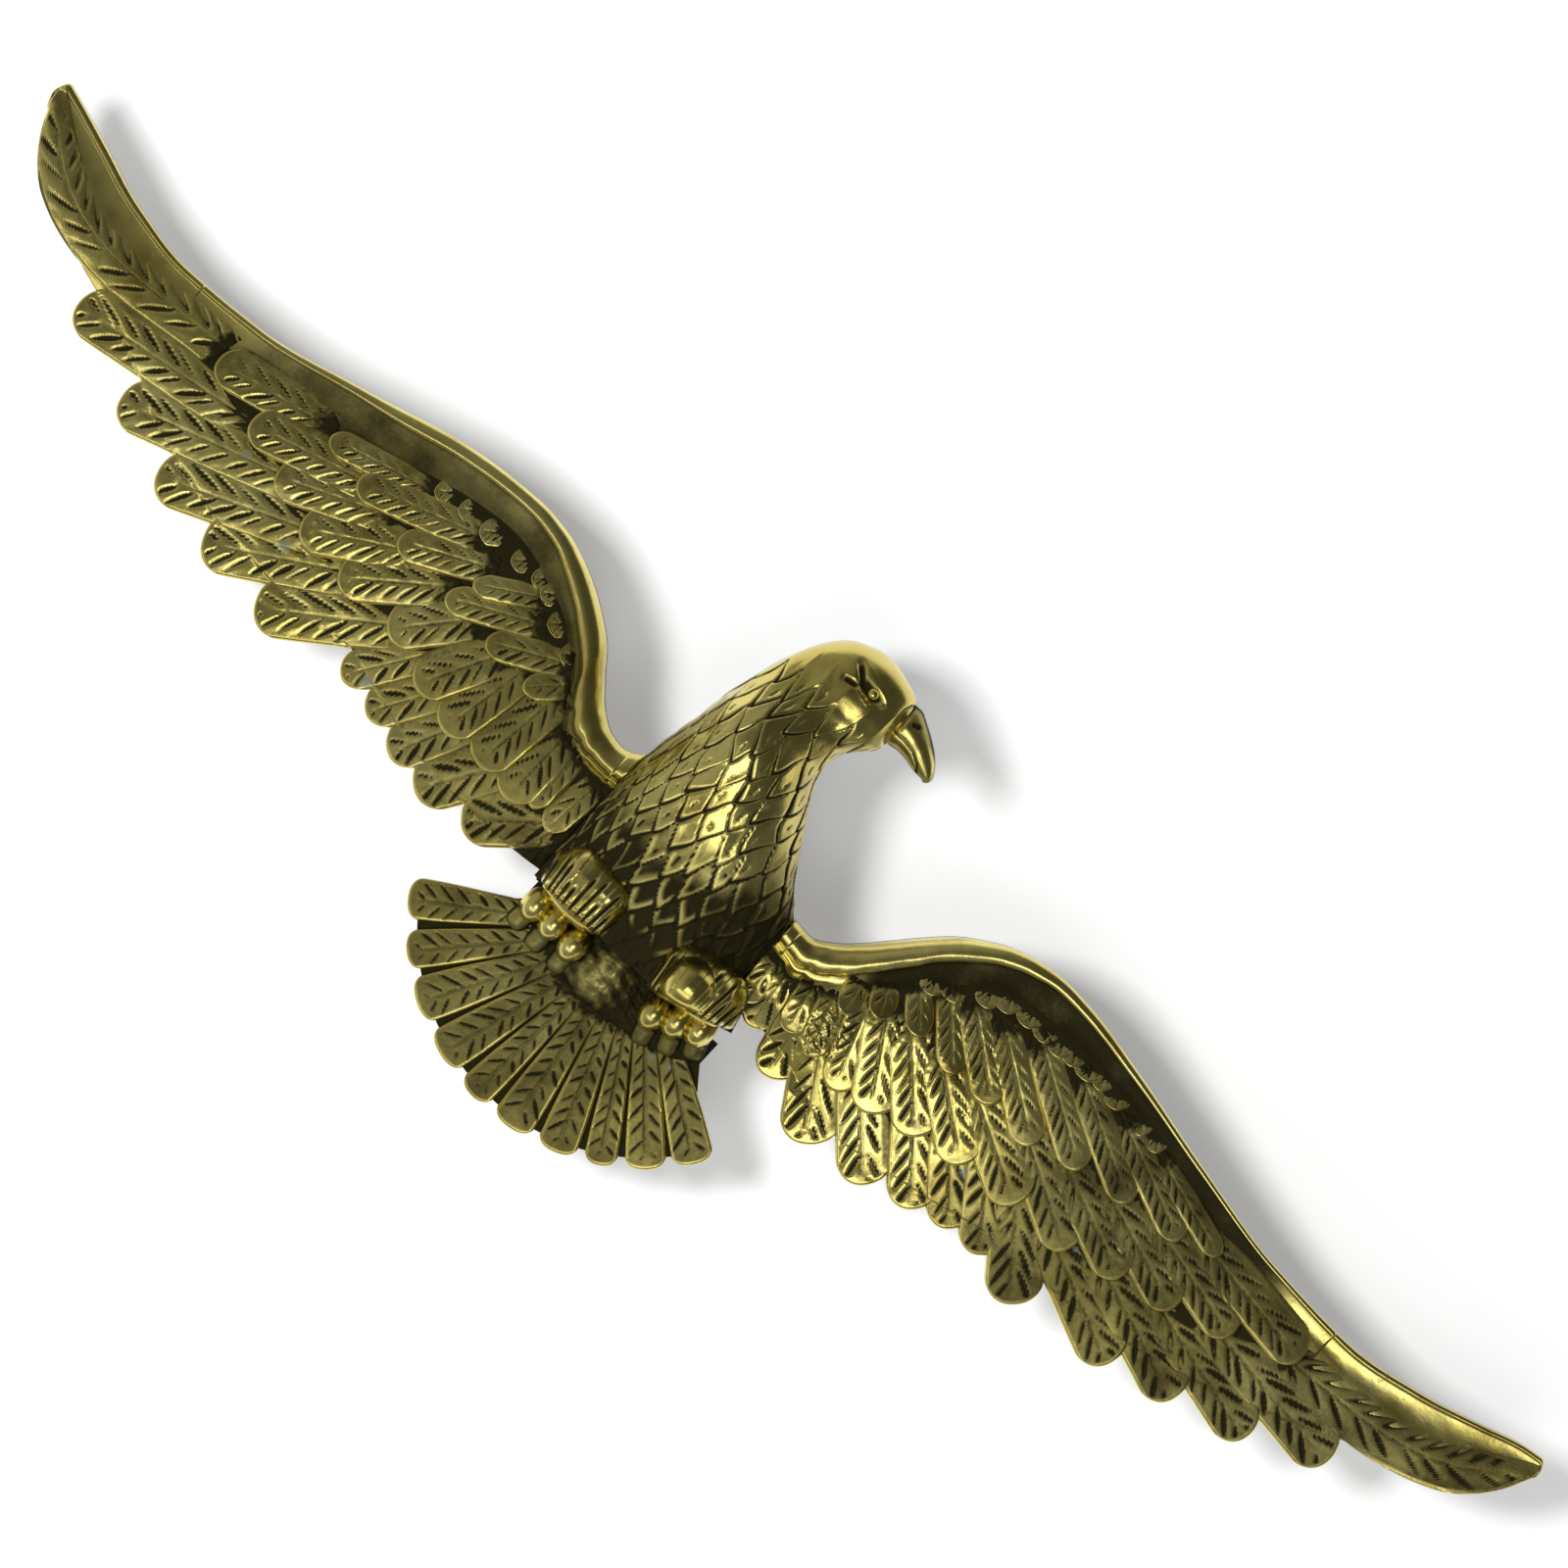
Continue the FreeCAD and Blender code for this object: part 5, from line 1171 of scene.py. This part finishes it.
def tailPlate():
    spread, pad = tailLook["halfSpread"], tailLook["padHalf"]
    low = bodyFoot - tailLook["padSide"]
    outline = [(-pad, bodyFoot), (-pad, low)]
    outline += [tailSpot(turn, tailLook["plateRadius"]) for turn in np.linspace(-spread, spread, 60)]
    outline += [(pad, low), (pad, bodyFoot)]
    return meshObject("tail_plate", *prism(outline, 0, tailLook["plateHigh"]), np.ones(2 * len(outline)),
                      smooth=False)


def tailRoot():
    # the rough hump between the legs and the pad that the feet stand on
    look = tailLook
    pad, high, centre = look["padHalf"], look["padHigh"], look["hub"][0]
    share, drop = np.meshgrid(np.linspace(-1, 1, look["padColumns"]), np.linspace(0, 1, look["padRows"]))
    length = look["padSide"] + (look["padLength"] - look["padSide"]) * np.sqrt(1 - share ** 2)
    x, z = share * (pad - 2), bodyFoot - drop * length
    edge = np.minimum((1 - drop) * length, (1 - np.abs(share)) * pad * 2)
    inset = np.clip(1 - edge / look["padEdge"], 0, 1)
    height = high - look["padFall"] * (1 - np.sqrt(1 - inset * inset)) - 0.8 * drop
    away = np.hypot(x - centre, (z - bodyFoot + look["humpDrop"]) * 0.95) / look["humpRadius"]
    height += (look["humpHigh"] - high) * np.exp(-away ** 2 * 0.9)
    ridge = np.exp(-((x - centre) / look["ridgeWide"]) ** 2) * ramp(look["humpDrop"], 0, bodyFoot - z)
    height += look["ridgeHigh"] * ridge
    height += 0.25 * ripple(x, z, 1.3, 7) + 0.18 * ripple(x, z, 0.6, 8)
    dark = np.clip(0.85 - 0.4 * np.exp(-away ** 2) + 0.14 * ripple(x, z, 1.6, 4), 0, 1)
    half = plaque["tongueWidth"] / 2
    tongue = slab((centre - half, centre + half), (bodyFoot - wall, bodyFoot + plaque["tongueReach"]),
                  plaque["tongueLow"], plaque["tongueHigh"])
    return meshObject("tail_root", *gather([sheet(x, height, z, look["plateHigh"] - 1, dark), tongue]))


plate = tailPlate()
tailGuides = []
for share, width in tailLook["feathers"]:
    turn = share * tailLook["halfSpread"]
    root, tip = tailSpot(turn, tailLook["rootRadius"]), tailSpot(turn, tailLook["tipRadius"])
    tailGuides.append((*root, *tip, tailLook["width"] * width, 0, 1, tailLook["plateHigh"]))
tailPieces = [plate, bakeFeathers("tail_feathers", tailGuides, tailLook["shape"], plate), tailRoot()]
for piece in tailPieces:
    piece.data.materials.append(castBrass)
    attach(piece, "root")
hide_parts("tail_fan")
print("tail made")


# feet

footLook = {
    # each toe: x and z of its upper and lower end; the left foot, then the right one
    "left": [((-31.2, -53.8), (-33.6, -69.5)), ((-24.0, -53.8), (-24.8, -70.8)),
             ((-16.0, -55.0), (-15.2, -71.0))],
    "right": [((14.4, -53.5), (18.8, -69.5)), ((20.8, -50.5), (26.6, -66.5)),
              ((27.7, -48.5), (33.4, -62.0))],
    "width": 4.15, "seat": 8, "high": 17,
    "rows": 60, "around": 48,
    "swellAt": 0.36, "pinchAt": 0.62,   # places along a toe
    "jointAt": 0.33, "jointSize": (4.5, 6.0, 6.0), "ankleSize": (11.5, 7.5, 5.0),
}


def toe(start, end):
    # a bent finger: its first joint swells, the claw below is narrower and lower
    share = np.linspace(0, 1, footLook["rows"])
    swell = 0.88 + 0.16 * np.exp(-((share - footLook["swellAt"]) / 0.18) ** 2)
    pinch = np.exp(-((share - footLook["pinchAt"]) / 0.025) ** 2)
    close = np.sqrt(np.clip(1 - (2 * np.clip(share, 0.5, 1) - 1) ** 8, 0.02, 1))
    close *= np.sqrt(np.clip(1 - (1 - np.minimum(share, 0.12) / 0.12) ** 2 * 0.8, 0.05, 1))
    close *= 1 - 0.07 * pinch
    radius = footLook["width"] * swell * close
    level = footLook["high"] - 7.0 - 4.2 * ramp(0.45, 0.75, share)
    high = 6.6 * close * (0.62 + 0.53 * np.exp(-((share - footLook["swellAt"]) / 0.2) ** 2))
    length = math.dist(start, end)
    along = ((end[0] - start[0]) / length, (end[1] - start[1]) / length)
    angles = np.linspace(0, 2 * math.pi, footLook["around"], endpoint=False)
    sides = np.clip(0.9 - 1.1 * np.sin(angles), 0.15, 0.9)
    rings, dark = [], []
    for k in range(len(share)):
        x = start[0] + along[0] * share[k] * length + along[1] * radius[k] * np.cos(angles)
        z = start[1] + along[1] * share[k] * length - along[0] * radius[k] * np.cos(angles)
        height = np.maximum(level[k] + high[k] * np.sin(angles), footLook["seat"] - 1.5)
        rings.append(np.stack([x, height, z], axis=-1))
        dark.append(sides + 0.4 * ramp(0.55, 0.68, share[k]) + 0.5 * pinch[k])
    return tube(rings) + (np.clip(np.concatenate(dark), 0, 1),)


for side in ("left", "right"):
    parts = []
    for start, end in footLook[side]:
        parts.append(toe(start, end))
        x, z = (blend(start[k], end[k], footLook["jointAt"]) for k in range(2))
        parts.append(ball(x, footLook["high"] - 3.6, z, *footLook["jointSize"], 40, 24))
    x, z = np.mean([start for start, end in footLook[side]], axis=0)
    parts.append(ball(x, 15.5, z + 2.5, *footLook["ankleSize"], 48, 24))
    foot = meshObject(side + "_foot_skin", *gather(parts))
    foot.data.materials.append(castBrass)
    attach(foot, "root")
    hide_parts(side + "_foot")
print("feet made")


# hardware behind the wings and the body keeps its own mesh

hardwareLook = {
    # colour, mottled colour and roughness, by the end of the node's name
    "hanger_plate": ("plate_brass", (0.72, 0.55, 0.22, 1), (0.50, 0.37, 0.14, 1), 0.28),
    "screws": ("screw_steel", (0.55, 0.54, 0.52, 1), (0.36, 0.33, 0.30, 1), 0.25),
}


def metal(name, colour, tint, rough):
    material, tree, shader, coordinates, noise = newMaterial(name)
    mottle = noise(180, 3).ramp(0.35, 0.7)
    feed(tree, mixColour(tree, mottle, colour, tint), shader.inputs["Base Color"])
    feed(tree, rough + noise(420, 2) * 0.2, shader.inputs["Roughness"])
    shader.inputs["Metallic"].default_value = 1.0
    return material


for ending, look in hardwareLook.items():
    surface = metal(*look)
    for name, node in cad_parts.items():
        if name.endswith(ending):
            node.data.materials.clear()
            node.data.materials.append(surface)
print("metals made")


# stage, lights and camera

view = {
    "centreX": -2.4, "centreZ": 17.9,       # middle of the picture in the plane of the wings
    "frameWidth": 472.9,
    "distance": 1900,
    "turnX": (0.7312, 0.6822),              # the picture's right hand direction, as x and z
    "backdrop": 42,                         # how far behind the wall plane the white board stands
    "boardHalf": 2600,
    "boardGlow": 0.27,
}
lamps = {
    # place to the right, up and towards the viewer, width, height and watts
    "key": ((-524, 186, 1392), 300, 300, 15),
    "broad": ((-15, -560, 1400), 620, 520, 3.4),
    "strip": ((-801, -859, 1400), 2000, 260, 4),
}


def lamp(name, place, width, height, watts):
    light = bpy.data.lights.new(name, "AREA")
    light.shape = "RECTANGLE"
    light.size, light.size_y = width * mm, height * mm
    light.energy = watts
    piece = addObject(name, light)
    piece.location = place * mm
    piece.rotation_euler = (centre - place).to_track_quat("-Z", "Y").to_euler()
    return piece


def boardMaterial():
    # white where it is seen or mirrored, dark as a source of stray light, and open from behind
    material = bpy.data.materials.new("white_board")
    material.use_nodes = True
    tree = material.node_tree
    shader = tree.nodes["Principled BSDF"]
    shader.inputs["Base Color"].default_value = (0.92, 0.92, 0.92, 1)
    shader.inputs["Roughness"].default_value = 0.9
    shader.inputs["Specular IOR Level"].default_value = 0.0
    shader.inputs["Emission Color"].default_value = (1, 1, 1, 1)
    shader.inputs["Emission Strength"].default_value = view["boardGlow"]
    dim = addNode(tree, "ShaderNodeBsdfDiffuse", {"Color": (0.1, 0.1, 0.09, 1)})
    seen = addNode(tree, "ShaderNodeMixShader")
    rays = addNode(tree, "ShaderNodeLightPath").outputs
    feed(tree, (Field(tree, rays["Is Camera Ray"]) + Field(tree, rays["Is Glossy Ray"])
                + Field(tree, rays["Is Transmission Ray"])).atMost(1), seen.inputs[0])
    tree.links.new(dim.outputs[0], seen.inputs[1])
    tree.links.new(shader.outputs[0], seen.inputs[2])
    clear = addNode(tree, "ShaderNodeBsdfTransparent")
    choose = addNode(tree, "ShaderNodeMixShader")
    tree.links.new(addNode(tree, "ShaderNodeNewGeometry").outputs["Backfacing"], choose.inputs[0])
    tree.links.new(seen.outputs[0], choose.inputs[1])
    tree.links.new(clear.outputs[0], choose.inputs[2])
    tree.links.new(choose.outputs[0], tree.nodes["Material Output"].inputs["Surface"])
    return material


def board():
    # the white board behind the plaque, which takes its shadow
    half, back = view["boardHalf"] * mm, view["backdrop"] * mm
    mesh = bpy.data.meshes.new("white_board")
    corners = [(x * half, back, z * half) for x, z in ((-1, -1), (1, -1), (1, 1), (-1, 1))]
    mesh.from_pydata(corners, [], [(0, 1, 2, 3)])
    mesh.materials.append(boardMaterial())
    piece = addObject("white_board", mesh)


board()
right = Vector((view["turnX"][0], 0, view["turnX"][1]))
up = Vector((-view["turnX"][1], 0, view["turnX"][0]))
centre = Vector((view["centreX"], 0, view["centreZ"]))


def stand(rightward, upward, forward):
    # a place named by the picture's own directions
    return centre + right * rightward + up * upward + Vector((0, -forward, 0))


for name, (place, width, height, watts) in lamps.items():
    # the key draws the shadow on the board; the metal mirrors the other two
    lamp(name, stand(*place), width, height, watts).visible_glossy = name != "key"

world = bpy.data.worlds.new("studio")
world.use_nodes = True
bpy.context.scene.world = world
worldTree = world.node_tree
# a dim room, a little brighter on the left and below
direction = Field(worldTree, addNode(worldTree, "ShaderNodeTexCoord").outputs["Generated"])
sideways, upwards = separate(worldTree, direction)[::2]
shade = (sideways * -1).ramp(-0.1, 0.8) * 0.28 + (upwards * -1).ramp(0.05, 0.5) * 0.12 + 0.07
feed(worldTree, combine(worldTree, shade, shade, shade), worldTree.nodes["Background"].inputs["Color"])

camera = bpy.data.cameras.new("camera")
camera.sensor_width = 36
camera.lens = 36 * view["distance"] / view["frameWidth"]
camera.clip_end = 20
cameraObject = addObject("camera", camera)
facing = Matrix((right, up, Vector((0, -1, 0)))).transposed().to_quaternion()
cameraObject.matrix_world = Matrix.LocRotScale(stand(0, 0, view["distance"]) * mm, facing, None)
bpy.context.scene.camera = cameraObject
bpy.context.scene.view_settings.view_transform = "Standard"
